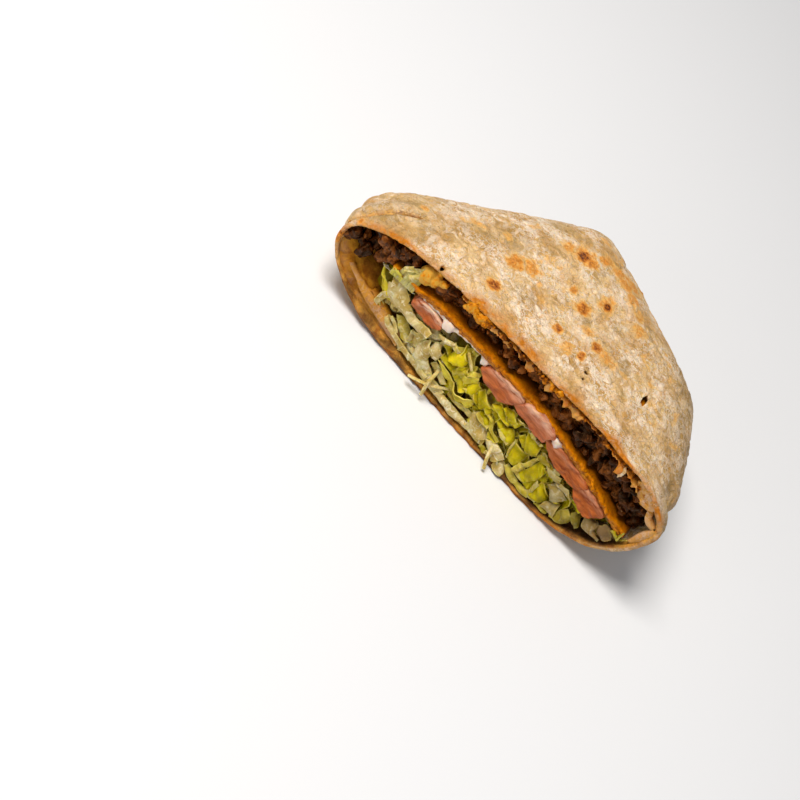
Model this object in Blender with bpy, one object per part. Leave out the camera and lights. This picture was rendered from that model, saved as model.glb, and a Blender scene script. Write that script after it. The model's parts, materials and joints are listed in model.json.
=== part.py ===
"""Half of a hexagonally folded, griddled flour tortilla wrap, cut straight across.

The half lies flat on its underside.  Shapes are worked out in millimetres from
the middle of the cut's bottom edge: the cut is the plane y = 0 and faces -Y, +X
runs along the cut and +Z is up.  make_object turns them to metres and moves the
origin to the middle of the base.

The tortilla is a closed bag: its plan is a rounded hexagon, given by the five
sides that remain behind the cut, and every upright section is a lens.  The
fillings are layers between curves drawn on the cut.  A curve is carried back
into the wrap by its share of the inside width and height, so that each layer
thins out towards the folded sides as the filling of a real wrap does.
"""
import math
import random

import bmesh
import bpy
import numpy as np
from mathutils import Matrix, Vector, noise

MM = 0.001
ORIGIN_X, ORIGIN_Y = -3.7, 48.3   # middle of the base, from the middle of the cut

# ---- the tortilla's plan and sections (mm, degrees) -------------------------
# Each side of the plan: direction of its outward normal, distance from the
# middle of the cut, and thickness of the wall there.
SIDES = ((192.0, 81.0, 2.4), (139.0, 81.5, 2.3), (65.5, 89.0, 2.3),
         (20.0, 79.5, 3.2), (-8.0, 78.0, 3.4))
CORNER_POWER = 22.0          # larger means sharper corners of the hexagon
TOP_WALL = 2.2
BOTTOM_WALL = 3.0            # two layers, the folded flaps
RIM_HEIGHT = 31.5            # where the side wall stands furthest out
RIM_RISE = 4.5               # how much higher the rim is at the right end
RIM_RISE_DEPTH = 50.0        # how far back that difference fades
HALF_LENGTH = 80.0           # from the middle of the cut to its ends
CROWN = 51.5                 # height of the top
CROWN_RISE = 2.5             # how much higher the top is on the right
CROWN_RISE_WIDTH, CROWN_RISE_DEPTH = 40.0, 60.0
HUMP, HUMP_WIDTH = 0.8, 26.0     # unevenness of the griddled top
BACK_SLOPE = 1.0 / 90.0      # the rim climbs a little towards the back
REST_DEPTH = 0.7             # how far the sagging base is pressed flat
# Fullness of the rounding from crown or base to the rim, beside the cut and behind.
TOP_POWER_CUT, TOP_POWER_BACK = 3.0, 5.5
BOTTOM_POWER_CUT, BOTTOM_POWER_BACK = 4.0, 8.0
RING_ANGLES = (0, 5, 12, 20, 30, 42, 55, 68, 80, 90)
ROUND_STEPS = 44
# Flap edges on the underside run from the hexagon's corners to the middle.
FLAP_EDGES = (165.0, 99.0, 50.5)
FLAP_STEP = 1.3
FLAP_EDGE_WIDTH = 0.8        # degrees taken by the step
FLAP_RAMP = 26.0             # degrees over which a flap dips under the next
FLAP_START = (0.15, 0.32)    # share of the way out from the middle where the step begins
FLAP_END = (0.9, 1.0)        # and where it ends at the rim
# Inside, the flaps' ends lie stacked along the lower left of the cut.
STACK_STEPS = ((-70.0, -22.0, 1.5), (-58.0, -30.0, 1.3))
STACK_EDGE_LEFT, STACK_EDGE_RIGHT = 3.0, 8.0
STACK_DEPTH, STACK_FADE = 30.0, 12.0

# ---- the fillings on the cut (mm) -------------------------------------------
CLEAR = 0.8                  # from the tortilla's inner wall
GAP = 0.3                    # between layers
INSIDE_X, OUTSIDE_X = -14.0, 110.0   # a place inside the plan at any depth, and one outside
HALVINGS = 40                # steps of the search between them
NACHO_TOP = ((-64, 32.4), (-50, 34.0), (-38, 35.8), (-20, 37.0), (0, 37.6),
             (15, 37.6), (30, 36.0), (42, 33.6), (54, 30.4), (64, 27.5), (70, 25.8))
NACHO_THICK = 1.6
TOSTADA_THICK = 1.9
CREAM_LEFT, CREAM_RIGHT = -50.0, 60.0
CREAM_THICK = 0.8
CREAM_BLOBS = ((-30.5, 2.6, 4.2), (-12.0, 1.7, 4.6), (27.5, 1.8, 3.0))
CREAM_REACH = 9.0            # how far back a blob goes
CREAM_TO_TOMATO = 0.2
# Tomato pieces: left and right end on the cut, thickness at each end.
TOMATOES = ((-46.5, -34.0, 5.6, 5.2), (-9.4, 5.2, 5.4, 8.6), (6.4, 24.6, 6.4, 6.8),
            (30.3, 44.6, 7.6, 8.4), (45.8, 59.6, 8.8, 5.4))
TOMATO_DEPTH = 24.0
TOMATO_STATIONS = (-0.8, 8.0, 17.0, TOMATO_DEPTH)
TOMATO_ROOM = (2.0, 0.4)     # the lettuce bends down round each piece over this length
TOMATO_FADE = (1.5, 9.0)     # and rises again behind it
LETTUCE_LEFT, LETTUCE_RIGHT = -61.0, 63.0
LETTUCE_DIP, LETTUCE_DIP_FROM, LETTUCE_DIP_TO = 2.0, -50.0, -58.0
SHRED_SPACING = 8.0
SHRED_THICK = 1.0
SHRED_LENGTH, SHRED_WIDTH = (9.0, 15.0), (4.0, 7.0)
SHRED_CURL = 1.6             # most a shred turns along its length, in radians
SHRED_BENDS = 3
STRIP_END_WIDTH = 0.75       # of the width in the strip's middle
PORCH_FRONT = -7.0           # how far shreds may stand out of the cut
# Three pale strands of rib that reach out over the cut's lower edge.
STRANDS = (((-8.0, 9.0, 10.0), (-14.0, 2.0, 9.0), (-20.0, -2.4, 7.2), (-27.6, -4.0, 4.6)),
           ((-22.0, 9.0, 14.0), (-21.0, 1.0, 12.6), (-20.4, -3.6, 9.5), (-19.0, -4.4, 3.0)),
           ((11.0, 9.0, 12.0), (13.0, 1.5, 10.0), (14.6, -3.0, 6.6), (17.4, -5.0, 1.6)))
STRAND_WIDTH, STRAND_THICK = 2.0, 1.5
MELT_LEFT, MELT_RIGHT = -33.0, 58.0
MELT_THICK = 0.9
MELT_DRIP_FADE = (4.0, 14.0)     # a drip dies away over this depth
MELT_DRIPS = ((-27.0, 3.4, 2.6), (-20.0, 3.2, 2.2), (0.5, 1.6, 2.4), (10.5, 2.0, 3.4),
              (22.0, 5.0, 2.2), (49.5, 1.4, 4.0))
BEEF_FLOOR_LEFT = 26.0       # the clump that fell past the layers' left end
BEEF_FLOOR_END = (-66.0, -64.6)
BEEF_LEFT, BEEF_RIGHT = -79.0, 71.6
CRUMB_SPACING = 6.8
CRUMB_RADIUS = (3.4, 4.7)
CRUMB_DEPTH = (1.8, 4.2)     # how far behind the cut a crumb's middle lies
CRUMB_STRETCH = ((0.85, 1.3), (0.8, 1.1), (0.65, 1.0))
CRUMB_ROUGHNESS = 0.34
LAYER_BACK = 86.0
DEPTH_STATIONS = (5.0, 12.0, 25.0, 33.0, 50.0, 68.0, LAYER_BACK)
MELT_STATIONS = (0.0, 5.0, 12.0, 25.0, 33.0, 50.0)
BEEF_STATIONS = (5.0, 12.0, 25.0, 33.0, 50.0, 68.0, 82.0)
LETTUCE_STATIONS = (5.0, 12.0, 25.0, 33.0, 50.0, 68.0, 82.0)
LAYER_STEP = 6.5             # spacing of the columns along a layer
NEAREST = 0.35               # least spacing of two columns

MERGE = 0.0000005            # metres: points that a Boolean leaves doubled

COLOURS = {
    "tortilla": ((0.79, 0.60, 0.37), 0.62),
    "beef": ((0.13, 0.055, 0.028), 0.45),
    "nacho_cheese": ((0.66, 0.27, 0.02), 0.3),
    "tostada": ((0.70, 0.33, 0.05), 0.6),
    "sour_cream": ((0.82, 0.74, 0.66), 0.35),
    "tomato": ((0.56, 0.16, 0.08), 0.28),
    "lettuce": ((0.46, 0.47, 0.07), 0.4),
    "melted_cheese": ((0.74, 0.36, 0.03), 0.3),
}


# ---- the shape of the tortilla ----------------------------------------------
def gauge(x, y, inset=0.0, walls=False):
    """1 on the plan's outline, less inside; inset moves every side inwards."""
    total = 0.0
    for direction, distance, wall in SIDES:
        angle = math.radians(direction)
        reach = distance - inset - (wall if walls else 0.0)
        total += max(0.0, (x * math.cos(angle) + y * math.sin(angle)) / reach) ** CORNER_POWER
    return total ** (1.0 / CORNER_POWER)


def rim_height(x, y):
    """Height at which the side wall stands furthest out."""
    rise = RIM_RISE * x / HALF_LENGTH * math.exp(-max(y, 0.0) / RIM_RISE_DEPTH)
    return RIM_HEIGHT + rise + y * BACK_SLOPE


def crown_height(x, y):
    """Height of the top surface before it rounds off to the rim."""
    rise = CROWN_RISE * math.tanh(x / CROWN_RISE_WIDTH) * math.exp(-max(y, 0.0) / CROWN_RISE_DEPTH)
    hump = HUMP * noise.noise(Vector((x / HUMP_WIDTH, y / HUMP_WIDTH, 4.0)))
    return CROWN + rise + 0.5 * y * BACK_SLOPE + hump


def fullness(x, y, upper):
    """Power of the rounding at x, y, which is softer beside the cut."""
    cut, back = (TOP_POWER_CUT, TOP_POWER_BACK) if upper else (BOTTOM_POWER_CUT, BOTTOM_POWER_BACK)
    return cut + (back - cut) * y * y / (x * x + y * y + 1e-9)


def top_height(x, y, inset=0.0, walls=False, wall=0.0):
    """Height of the upper sheet: its outside, or an inside offset of it."""
    g = min(1.0, gauge(x, y, inset, walls))
    rim = rim_height(x, y)
    return rim + (crown_height(x, y) - wall - rim) * math.sqrt(max(0.0, 1.0 - g ** fullness(x, y, True)))


def bottom_height(x, y, inset=0.0, walls=False, wall=0.0):
    """Height of the lower sheet, flat where it rests."""
    g = min(1.0, gauge(x, y, inset, walls))
    rim = rim_height(x, y)
    drop = (rim + REST_DEPTH - wall) * math.sqrt(max(0.0, 1.0 - g ** fullness(x, y, False)))
    return max(wall, rim - drop)


def smooth(edge0, edge1, value):
    """0 before edge0, 1 after edge1, eased between."""
    t = min(1.0, max(0.0, (value - edge0) / (edge1 - edge0)))
    return t * t * (3.0 - 2.0 * t)


def flap_relief(angle, share):
    """How far the underside lies above the floor: each flap dips under the next."""
    lift = 0.0
    for edge in FLAP_EDGES:
        behind = angle - edge
        if 0.0 <= behind < FLAP_RAMP:
            lift = max(lift, FLAP_STEP * (1.0 - behind / FLAP_RAMP))
    return lift * smooth(*FLAP_START, share) * (1.0 - smooth(*FLAP_END, share))


def stack_relief(x, y):
    """Extra thickness inside, where the flaps' ends lie stacked."""
    lift = 0.0
    for left, right, height in STACK_STEPS:
        start = smooth(left - STACK_EDGE_LEFT, left + STACK_EDGE_LEFT, x)
        lift += height * start * (1.0 - smooth(right - STACK_EDGE_RIGHT, right, x))
    return lift * (1.0 - smooth(STACK_DEPTH - STACK_FADE, STACK_DEPTH, y))


def wall_point(angle, phi, upper, inner):
    """One point of the tortilla, on a ray from the middle of the cut."""
    direction = math.radians(angle)
    c, s = math.cos(direction), max(0.0, math.sin(direction))
    if angle in (0.0, 180.0):
        s = 0.0
    share = math.sin(math.radians(phi)) ** (2.0 / fullness(c, s, upper))
    radius = share / gauge(c, s, 0.0, inner)
    x, y = radius * c, radius * s
    if upper:
        z = top_height(x, y, 0.0, inner, TOP_WALL if inner else 0.0)
    elif inner:
        z = bottom_height(x, y, 0.0, True, BOTTOM_WALL) + stack_relief(x, y) * (1.0 - share ** 6)
    else:
        z = bottom_height(x, y) + flap_relief(angle, share)
    if phi == 90:
        z = rim_height(x, y)
    return x, y, z


def profile(angle, inner):
    """Points of one section, from the middle of the top round the rim to the bottom's."""
    upper = [wall_point(angle, phi, True, inner) for phi in RING_ANGLES]
    lower = [wall_point(angle, phi, False, inner) for phi in reversed(RING_ANGLES[:-1])]
    return upper + lower


# ---- from the cut back into the wrap -----------------------------------------
def side_reach(y, side):
    """Where the inside ends at depth y, to the left (-1) or right (+1)."""
    near, far = INSIDE_X, side * OUTSIDE_X
    for _ in range(HALVINGS):
        middle = 0.5 * (near + far)
        if gauge(middle, y, CLEAR, True) < 1.0:
            near = middle
        else:
            far = middle
    return near


def inside_span(x, y):
    """Lowest and highest point of the inside at x, y, clear of the walls."""
    low = bottom_height(x, y, CLEAR, True, BOTTOM_WALL) + stack_relief(x, y) + CLEAR
    high = top_height(x, y, CLEAR, True, TOP_WALL) - CLEAR
    return low, high


CUT_LEFT, CUT_RIGHT = side_reach(0.0, -1), side_reach(0.0, 1)
REACH = {}


def carried(x, z, y):
    """A point drawn on the cut at x, z, carried back to depth y."""
    depth = max(0.0, y)
    if depth not in REACH:
        REACH[depth] = (side_reach(depth, -1), side_reach(depth, 1))
    left, right = REACH[depth]
    low, high = inside_span(x, 0.0)
    share = (z - low) / (high - low)
    there = left + (x - CUT_LEFT) / (CUT_RIGHT - CUT_LEFT) * (right - left)
    low, high = inside_span(there, depth)
    return there, y, low + share * (high - low)


def along(curve, x):
    """Height of a curve drawn on the cut."""
    return float(np.interp(x, [p[0] for p in curve], [p[1] for p in curve]))


def bump(x, blobs):
    """Sum of blunt blobs: middle, half width, height."""
    return sum(height * math.exp(-((x - middle) / width) ** 4) for middle, width, height in blobs)


def uneven(x, wavelength, amount, row):
    """Gentle unevenness along the cut, different for each row."""
    return amount * noise.noise(Vector((x / wavelength, row, 0.0)))


def melt_bottom(x, y):
    """Underside of the cheese that melted onto the upper sheet."""
    high = inside_span(x, 0.0)[1]
    if not MELT_LEFT - 0.5 < x < MELT_RIGHT + 0.5:
        return high
    return high - MELT_THICK - bump(x, MELT_DRIPS) * (1.0 - smooth(*MELT_DRIP_FADE, y))


def nacho_top(x, y):
    """Top of the cheese sauce."""
    return along(NACHO_TOP, x)


def tostada_top(x, y):
    """Top of the crisp round, under the sauce."""
    return nacho_top(x, y) - NACHO_THICK


def tostada_bottom(x, y):
    """Underside of the crisp round."""
    return tostada_top(x, y) - TOSTADA_THICK


def cream_bottom(x, y):
    """Underside of the sour cream, which sags in blobs between the tomato."""
    sag = bump(x, CREAM_BLOBS) * (1.0 - smooth(CREAM_REACH - 4.0, CREAM_REACH + 1.0, y))
    return tostada_bottom(x, y) - CREAM_THICK - sag


def tomato_bottom(x, y):
    """Underside of the tomato pieces, or of the cream between them."""
    far, near = TOMATO_ROOM
    deepest = 0.0
    for left, right, thick_left, thick_right in TOMATOES:
        share = min(1.0, max(0.0, (x - left) / (right - left)))
        thick = thick_left + share * (thick_right - thick_left) + GAP
        under = smooth(left - far, left - near, x) * (1.0 - smooth(right + near, right + far, x))
        deepest = max(deepest, thick * under)
    start, end = TOMATO_FADE
    return cream_bottom(x, y) - deepest * (1.0 - smooth(TOMATO_DEPTH + start, TOMATO_DEPTH + end, y))


def beef_bottom(x, y):
    """Underside of the beef, which hangs lower past the layers' left end."""
    past = smooth(*BEEF_FLOOR_END, x)
    return BEEF_FLOOR_LEFT + past * (nacho_top(x, y) + 2.0 * GAP - BEEF_FLOOR_LEFT)


# ---- meshes -------------------------------------------------------------------
def make_object(name, points, faces, colour_key, smooth_angle=35.0):
    """Object from millimetre points, faces turned outwards, its own material."""
    mesh = bpy.data.meshes.new(name)
    placed = [((x - ORIGIN_X) * MM, (y - ORIGIN_Y) * MM, z * MM) for x, y, z in points]
    mesh.from_pydata(placed, [], faces)
    work = bmesh.new()
    work.from_mesh(mesh)
    bmesh.ops.triangulate(work, faces=work.faces[:])
    bmesh.ops.recalc_face_normals(work, faces=work.faces[:])
    if work.calc_volume(signed=True) < 0.0:
        bmesh.ops.reverse_faces(work, faces=work.faces[:])
    work.to_mesh(mesh)
    work.free()
    piece = bpy.data.objects.new(name, mesh)
    bpy.context.scene.collection.objects.link(piece)
    colour, roughness = COLOURS[colour_key]
    material = bpy.data.materials.new(name)
    material.use_nodes = True
    shader = material.node_tree.nodes["Principled BSDF"]
    shader.inputs["Base Color"].default_value = (*colour, 1.0)
    shader.inputs["Roughness"].default_value = roughness
    shader.inputs["Metallic"].default_value = 0.0
    mesh.materials.append(material)
    mesh.shade_smooth()
    mesh.set_sharp_from_angle(angle=math.radians(smooth_angle))
    return piece


def columns(left, right, step=LAYER_STEP, extra=()):
    """Evenly spaced places from left to right, with extra ones put in."""
    count = max(2, round((right - left) / step))
    places = [left + (right - left) * k / count for k in range(count + 1)]
    places = [p for p in places if all(abs(p - e) > 0.45 * step for e in extra) or p in (left, right)]
    for e in sorted(extra):
        if left < e < right and all(abs(p - e) > NEAREST for p in places):
            places.append(e)
    return sorted(places)


def blob_places():
    """Columns that catch the blobs of sour cream."""
    shares = (-1.4, -0.7, 0.0, 0.7, 1.4)
    return [middle + share * width for middle, width, _ in CREAM_BLOBS for share in shares]


def melt_columns():
    """Columns of the melted cheese, which catch its drips."""
    drips = [middle + share * width for middle, width, _ in MELT_DRIPS for share in (-1.0, 0.0, 1.0)]
    return columns(MELT_LEFT, MELT_RIGHT, LAYER_STEP, drips)


def layer(name, colour_key, places, stations, top, bottom, front=None):
    """Closed solid between two curves of the cut, carried back through the stations.

    front(x) is how far the first station lies behind the cut at each column.
    """
    points, index = [], {}
    for j, y in enumerate(stations):
        for i, x in enumerate(places):
            depth = y + (front(x) if front and j == 0 else 0.0)
            for k, height in ((0, bottom), (1, top)):
                index[i, j, k] = len(points)
                points.append(carried(x, height(x, max(0.0, y)), depth))
    last_i, last_j = len(places) - 1, len(stations) - 1
    faces = []
    for j in range(last_j):
        for i in range(last_i):
            for k in (0, 1):
                faces.append((index[i, j, k], index[i + 1, j, k],
                              index[i + 1, j + 1, k], index[i, j + 1, k]))
        for i in (0, last_i):
            faces.append((index[i, j, 0], index[i, j + 1, 0], index[i, j + 1, 1], index[i, j, 1]))
    for j in (0, last_j):
        for i in range(last_i):
            faces.append((index[i, j, 0], index[i + 1, j, 0], index[i + 1, j, 1], index[i, j, 1]))
    return make_object(name, points, faces, colour_key)


def crumble(name, centre, radius, seed):
    """One crumb of ground beef: a small lump with flattened, broken sides."""
    work = bmesh.new()
    bmesh.ops.create_icosphere(work, subdivisions=1, radius=1.0)
    chance = random.Random(seed)
    stretch = Vector([chance.uniform(*limits) for limits in CRUMB_STRETCH])
    turn = Matrix.Rotation(chance.uniform(0, math.tau), 3, "Y")
    turn = turn @ Matrix.Rotation(chance.uniform(0, 1), 3, "X")
    for vertex in work.verts:
        push = 1.0 + CRUMB_ROUGHNESS * noise.noise(vertex.co * 1.7 + Vector((seed * 3.1, 0.0, 0.0)))
        shaped = turn @ Vector([a * b for a, b in zip(vertex.co, stretch)])
        vertex.co = shaped * radius * push + Vector(centre)
    points = [tuple(v.co) for v in work.verts]
    faces = [tuple(v.index for v in f.verts) for f in work.faces]
    work.free()
    return make_object(name, points, faces, "beef")


def strip_along(name, path, across, width, thick):
    """Closed strip of lettuce through the path's points, widest in its middle."""
    points, count = [], len(path) - 1
    for k, place in enumerate(path):
        forward = (path[min(k + 1, count)] - path[max(k - 1, 0)]).normalized()
        side = (across[k] - forward * across[k].dot(forward)).normalized()
        normal = forward.cross(side)
        swell = math.sin(math.pi * min(1.0, k / count + 0.2))
        half = 0.5 * width * (STRIP_END_WIDTH + (1.0 - STRIP_END_WIDTH) * swell)
        for a, n in ((-1, -1), (1, -1), (1, 1), (-1, 1)):
            points.append(tuple(place + side * half * a + normal * 0.5 * thick * n))
    faces = [(0, 1, 2, 3), tuple(4 * count + c for c in (3, 2, 1, 0))]
    for k in range(count):
        for c in range(4):
            d = (c + 1) % 4
            faces.append((4 * k + c, 4 * k + 4 + c, 4 * k + 4 + d, 4 * k + d))
    return make_object(name, points, faces, "lettuce")


def shred(name, start, heading, length, width, curl, chance):
    """One shred that curls along its length, its flat side turned at random."""
    forward = Vector(heading).normalized()
    side = forward.orthogonal().normalized()
    side.rotate(Matrix.Rotation(chance.uniform(0, math.tau), 3, forward))
    bend = Matrix.Rotation(curl / SHRED_BENDS, 3, side)
    place = Vector(start) - forward * length * 0.5
    path, across = [place.copy()], [side.copy()]
    for _ in range(SHRED_BENDS):
        place += forward * length / SHRED_BENDS
        forward.rotate(bend)
        path.append(place.copy())
        across.append(side.copy())
    return strip_along(name, path, across, width, SHRED_THICK)


def combine(core, others, operation, solver="EXACT"):
    """One Boolean of the core with a collection, applied; the others are removed."""
    group = bpy.data.collections.new("group")
    for other in others:
        group.objects.link(other)
    cut = core.modifiers.new("combine", "BOOLEAN")
    cut.operation = operation
    cut.solver = solver
    cut.operand_type = "COLLECTION"
    cut.collection = group
    graph = bpy.context.evaluated_depsgraph_get()
    result = bpy.data.meshes.new_from_object(core.evaluated_get(graph), depsgraph=graph)
    core.modifiers.clear()
    old = core.data
    core.data = result
    bpy.data.meshes.remove(old)
    for other in list(group.objects):
        bpy.data.objects.remove(other)
    bpy.data.collections.remove(group)


def keep_largest(piece):
    """Drop loose scraps and closed hollows, merge what the Boolean left doubled."""
    work = bmesh.new()
    work.from_mesh(piece.data)
    bmesh.ops.remove_doubles(work, verts=work.verts[:], dist=MERGE)
    bmesh.ops.dissolve_degenerate(work, edges=work.edges[:], dist=MERGE)
    bmesh.ops.triangulate(work, faces=work.faces[:])
    seen, islands = set(), []
    for first in work.verts:
        if first in seen:
            continue
        seen.add(first)
        stack, island = [first], []
        while stack:
            vertex = stack.pop()
            island.append(vertex)
            for edge in vertex.link_edges:
                other = edge.other_vert(vertex)
                if other not in seen:
                    seen.add(other)
                    stack.append(other)
        islands.append(island)
    islands.sort(key=len, reverse=True)
    loose = [vertex for island in islands[1:] for vertex in island]
    bmesh.ops.delete(work, geom=loose, context="VERTS")
    bmesh.ops.recalc_face_normals(work, faces=work.faces[:])
    work.to_mesh(piece.data)
    work.free()
    piece.data.shade_smooth()
    piece.data.set_sharp_from_angle(angle=math.radians(40.0))


# ---- the sub-parts --------------------------------------------------------------
def build_tortilla():
    """The folded tortilla: outer and inner bag, joined round the cut."""
    even = [180.0 * k / ROUND_STEPS for k in range(ROUND_STEPS + 1)]
    steps = [edge + side for edge in FLAP_EDGES for side in (-FLAP_EDGE_WIDTH, 0.0)]
    angles = sorted(steps + [a for a in even if all(abs(a - e) > 1.6 for e in steps)])
    points, faces, rows = [], [], {}
    for inner in (False, True):
        poles = None
        for a, angle in enumerate(angles):
            row = []
            section = profile(angle, inner)
            for s, point in enumerate(section):
                if s in (0, len(section) - 1) and poles:
                    row.append(poles[0] if s == 0 else poles[1])
                    continue
                row.append(len(points))
                points.append(point)
            poles = poles or (row[0], row[-1])
            rows[inner, a] = row
    for inner in (False, True):
        for a in range(len(angles) - 1):
            here, there = rows[inner, a], rows[inner, a + 1]
            for s in range(len(here) - 1):
                corners = (here[s], here[s + 1], there[s + 1], there[s])
                faces.append(tuple(dict.fromkeys(corners)))
    for a in (0, len(angles) - 1):
        outer, inside = rows[False, a], rows[True, a]
        for s in range(len(outer) - 1):
            faces.append((outer[s], outer[s + 1], inside[s + 1], inside[s]))
    return make_object("tortilla", points, faces, "tortilla", 28.0)


def build_layers():
    """Cheese sauce, crisp round, sour cream, melted cheese and tomato."""
    left, right = NACHO_TOP[0][0], NACHO_TOP[-1][0]
    stations = (0.0,) + DEPTH_STATIONS

    def sauce_front(x):
        return uneven(x, 5.0, 0.7, 1.0) - 0.9

    def crisp_front(x):
        return uneven(x, 4.0, 0.5, 9.0) - 0.4

    layer("nacho_cheese", "nacho_cheese", columns(left + 1.0, right - 1.0), stations,
          nacho_top, lambda x, y: tostada_top(x, y) + GAP, sauce_front)
    layer("tostada", "tostada", columns(left, right), stations,
          tostada_top, lambda x, y: tostada_bottom(x, y) + GAP, crisp_front)
    cream_places = columns(CREAM_LEFT, CREAM_RIGHT, LAYER_STEP, blob_places())
    layer("sour_cream", "sour_cream", cream_places, stations[:-1],
          tostada_bottom, lambda x, y: cream_bottom(x, y) + GAP, lambda x: -0.3)
    layer("melted_cheese", "melted_cheese", melt_columns(), MELT_STATIONS,
          lambda x, y: inside_span(x, 0.0)[1], lambda x, y: melt_bottom(x, y) + GAP, lambda x: 0.2)
    for number, (start, end, thick_left, thick_right) in enumerate(TOMATOES, 1):
        def tomato_top(x, y):
            return cream_bottom(x, LAYER_BACK) - CREAM_TO_TOMATO

        def tomato_floor(x, y, a=start, b=end, t0=thick_left, t1=thick_right):
            return cream_bottom(x, LAYER_BACK) - (t0 + (x - a) / (b - a) * (t1 - t0)) + GAP

        layer(f"tomato_{number}", "tomato", columns(start, end, 4.0), TOMATO_STATIONS,
              tomato_top, tomato_floor, lambda x: uneven(x, 3.0, 0.5, 5.0))


def build_beef():
    """Ground beef under the upper sheet: a core with the crumbs of the cut fused on."""
    step = [BEEF_FLOOR_END[0] - 0.2, BEEF_FLOOR_END[1] + 0.2]
    places = (columns(BEEF_LEFT, MELT_LEFT - 0.7, LAYER_STEP, step) + melt_columns()
              + columns(MELT_RIGHT + 0.7, BEEF_RIGHT))
    top, bottom = melt_bottom, beef_bottom
    core = layer("beef", "beef", places, BEEF_STATIONS, top, bottom, lambda x: uneven(x, 8.0, 1.5, 2.0))
    region = layer("room", "beef", places, (-2.4, 0.0, 5.0, 12.0, 25.0), top, bottom)
    chance = random.Random(11)
    crumbs = []
    for x in np.arange(BEEF_LEFT + 2.0, BEEF_RIGHT - 1.0, CRUMB_SPACING):
        low, high = bottom(x, 0.0), top(x, 0.0)
        rows = max(1, round((high - low) / CRUMB_SPACING))
        for row in range(rows):
            z = low + (high - low) * (row + 0.5 + chance.uniform(-0.2, 0.2)) / rows
            centre = (x + chance.uniform(-1.5, 1.5), chance.uniform(*CRUMB_DEPTH), z)
            radius = chance.uniform(*CRUMB_RADIUS)
            crumbs.append(crumble(f"crumb_{len(crumbs)}", centre, radius, len(crumbs)))
    fuse(core, crumbs, region, [])


def fuse(core, pieces, region, free, solver="EXACT"):
    """Pieces trimmed to their room, then fused to the core with the free ones."""
    first, rest = pieces[0], pieces[1:]
    combine(first, rest, "UNION", solver)
    combine(first, [region], "INTERSECT", solver)
    combine(core, [first] + free, "UNION", solver)
    keep_largest(core)


def build_lettuce():
    """Shredded lettuce: a core with the shreds of the cut fused on."""
    far, near = TOMATO_ROOM
    bends = [e for a, b, _, _ in TOMATOES for e in (a - far, a - near, b + near, b + far)]
    places = columns(LETTUCE_LEFT, LETTUCE_RIGHT, LAYER_STEP, blob_places() + bends)

    def top(x, y):
        return tomato_bottom(x, y) - LETTUCE_DIP * smooth(LETTUCE_DIP_FROM, LETTUCE_DIP_TO, x)

    def bottom(x, y):
        return inside_span(x, 0.0)[0]

    core = layer("lettuce", "lettuce", places, LETTUCE_STATIONS, top, bottom,
                 lambda x: uneven(x, 6.0, 1.5, 7.0))
    region = layer("room", "lettuce", places, (-1.2, 0.0, 5.0, 12.0, 25.0), top, bottom)
    porch = layer("porch", "lettuce", places, (PORCH_FRONT, -0.5), lambda x, y: top(x, 0.0) - 1.0,
                  lambda x, y: bottom(x, 0.0) + 0.2)
    combine(region, [porch], "UNION", "MANIFOLD")
    chance = random.Random(5)
    shreds = []
    for x in np.arange(LETTUCE_LEFT + 3.0, LETTUCE_RIGHT - 2.0, SHRED_SPACING):
        low, high = bottom(x, 0.0), top(x, 0.0)
        rows = max(1, round((high - low) / SHRED_SPACING))
        for row in range(rows):
            z = low + (high - low) * (row + 0.5 + chance.uniform(-0.25, 0.25)) / rows
            slant = chance.uniform(-0.5, 0.5) * math.pi
            heading = (math.cos(slant), chance.uniform(-0.4, 0.4), math.sin(slant))
            start = (x + chance.uniform(-2.0, 2.0), chance.uniform(0.0, 4.5), z)
            length, width = chance.uniform(*SHRED_LENGTH), chance.uniform(*SHRED_WIDTH)
            curl = chance.uniform(-SHRED_CURL, SHRED_CURL)
            shreds.append(shred(f"shred_{len(shreds)}", start, heading, length, width, curl, chance))
    strands = [strip_along(f"strand_{n}", [Vector(p) for p in path], [Vector((0.0, 0.3, 1.0))] * len(path),
                           STRAND_WIDTH, STRAND_THICK) for n, path in enumerate(STRANDS)]
    fuse(core, shreds, region, strands, "MANIFOLD")


def main():
    """Clear the scene and build every sub-part."""
    for old in list(bpy.data.objects):
        bpy.data.objects.remove(old)
    build_tortilla()
    build_layers()
    build_beef()
    build_lettuce()


main()
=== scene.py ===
"""Half of a folded, griddled tortilla wrap: the looks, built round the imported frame.

Shapes are worked out in millimetres from the middle of the cut's bottom edge: x
runs along the cut, y back into the wrap and z up, so the cut is the plane y = 0
and faces -Y.  to_frame turns them to metres in the frame's own axes.  Heights
"seen" on the cut are those that the photograph shows; PhotoView moves such a
place back along the line of sight to any depth.
"""
from __future__ import annotations

import json
import logging
import math
import random
from dataclasses import dataclass, replace
from enum import Enum
from itertools import product
from typing import Callable, Sequence

import bmesh
import bpy
import numpy as np
from mathutils import Matrix, Vector, noise

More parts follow.
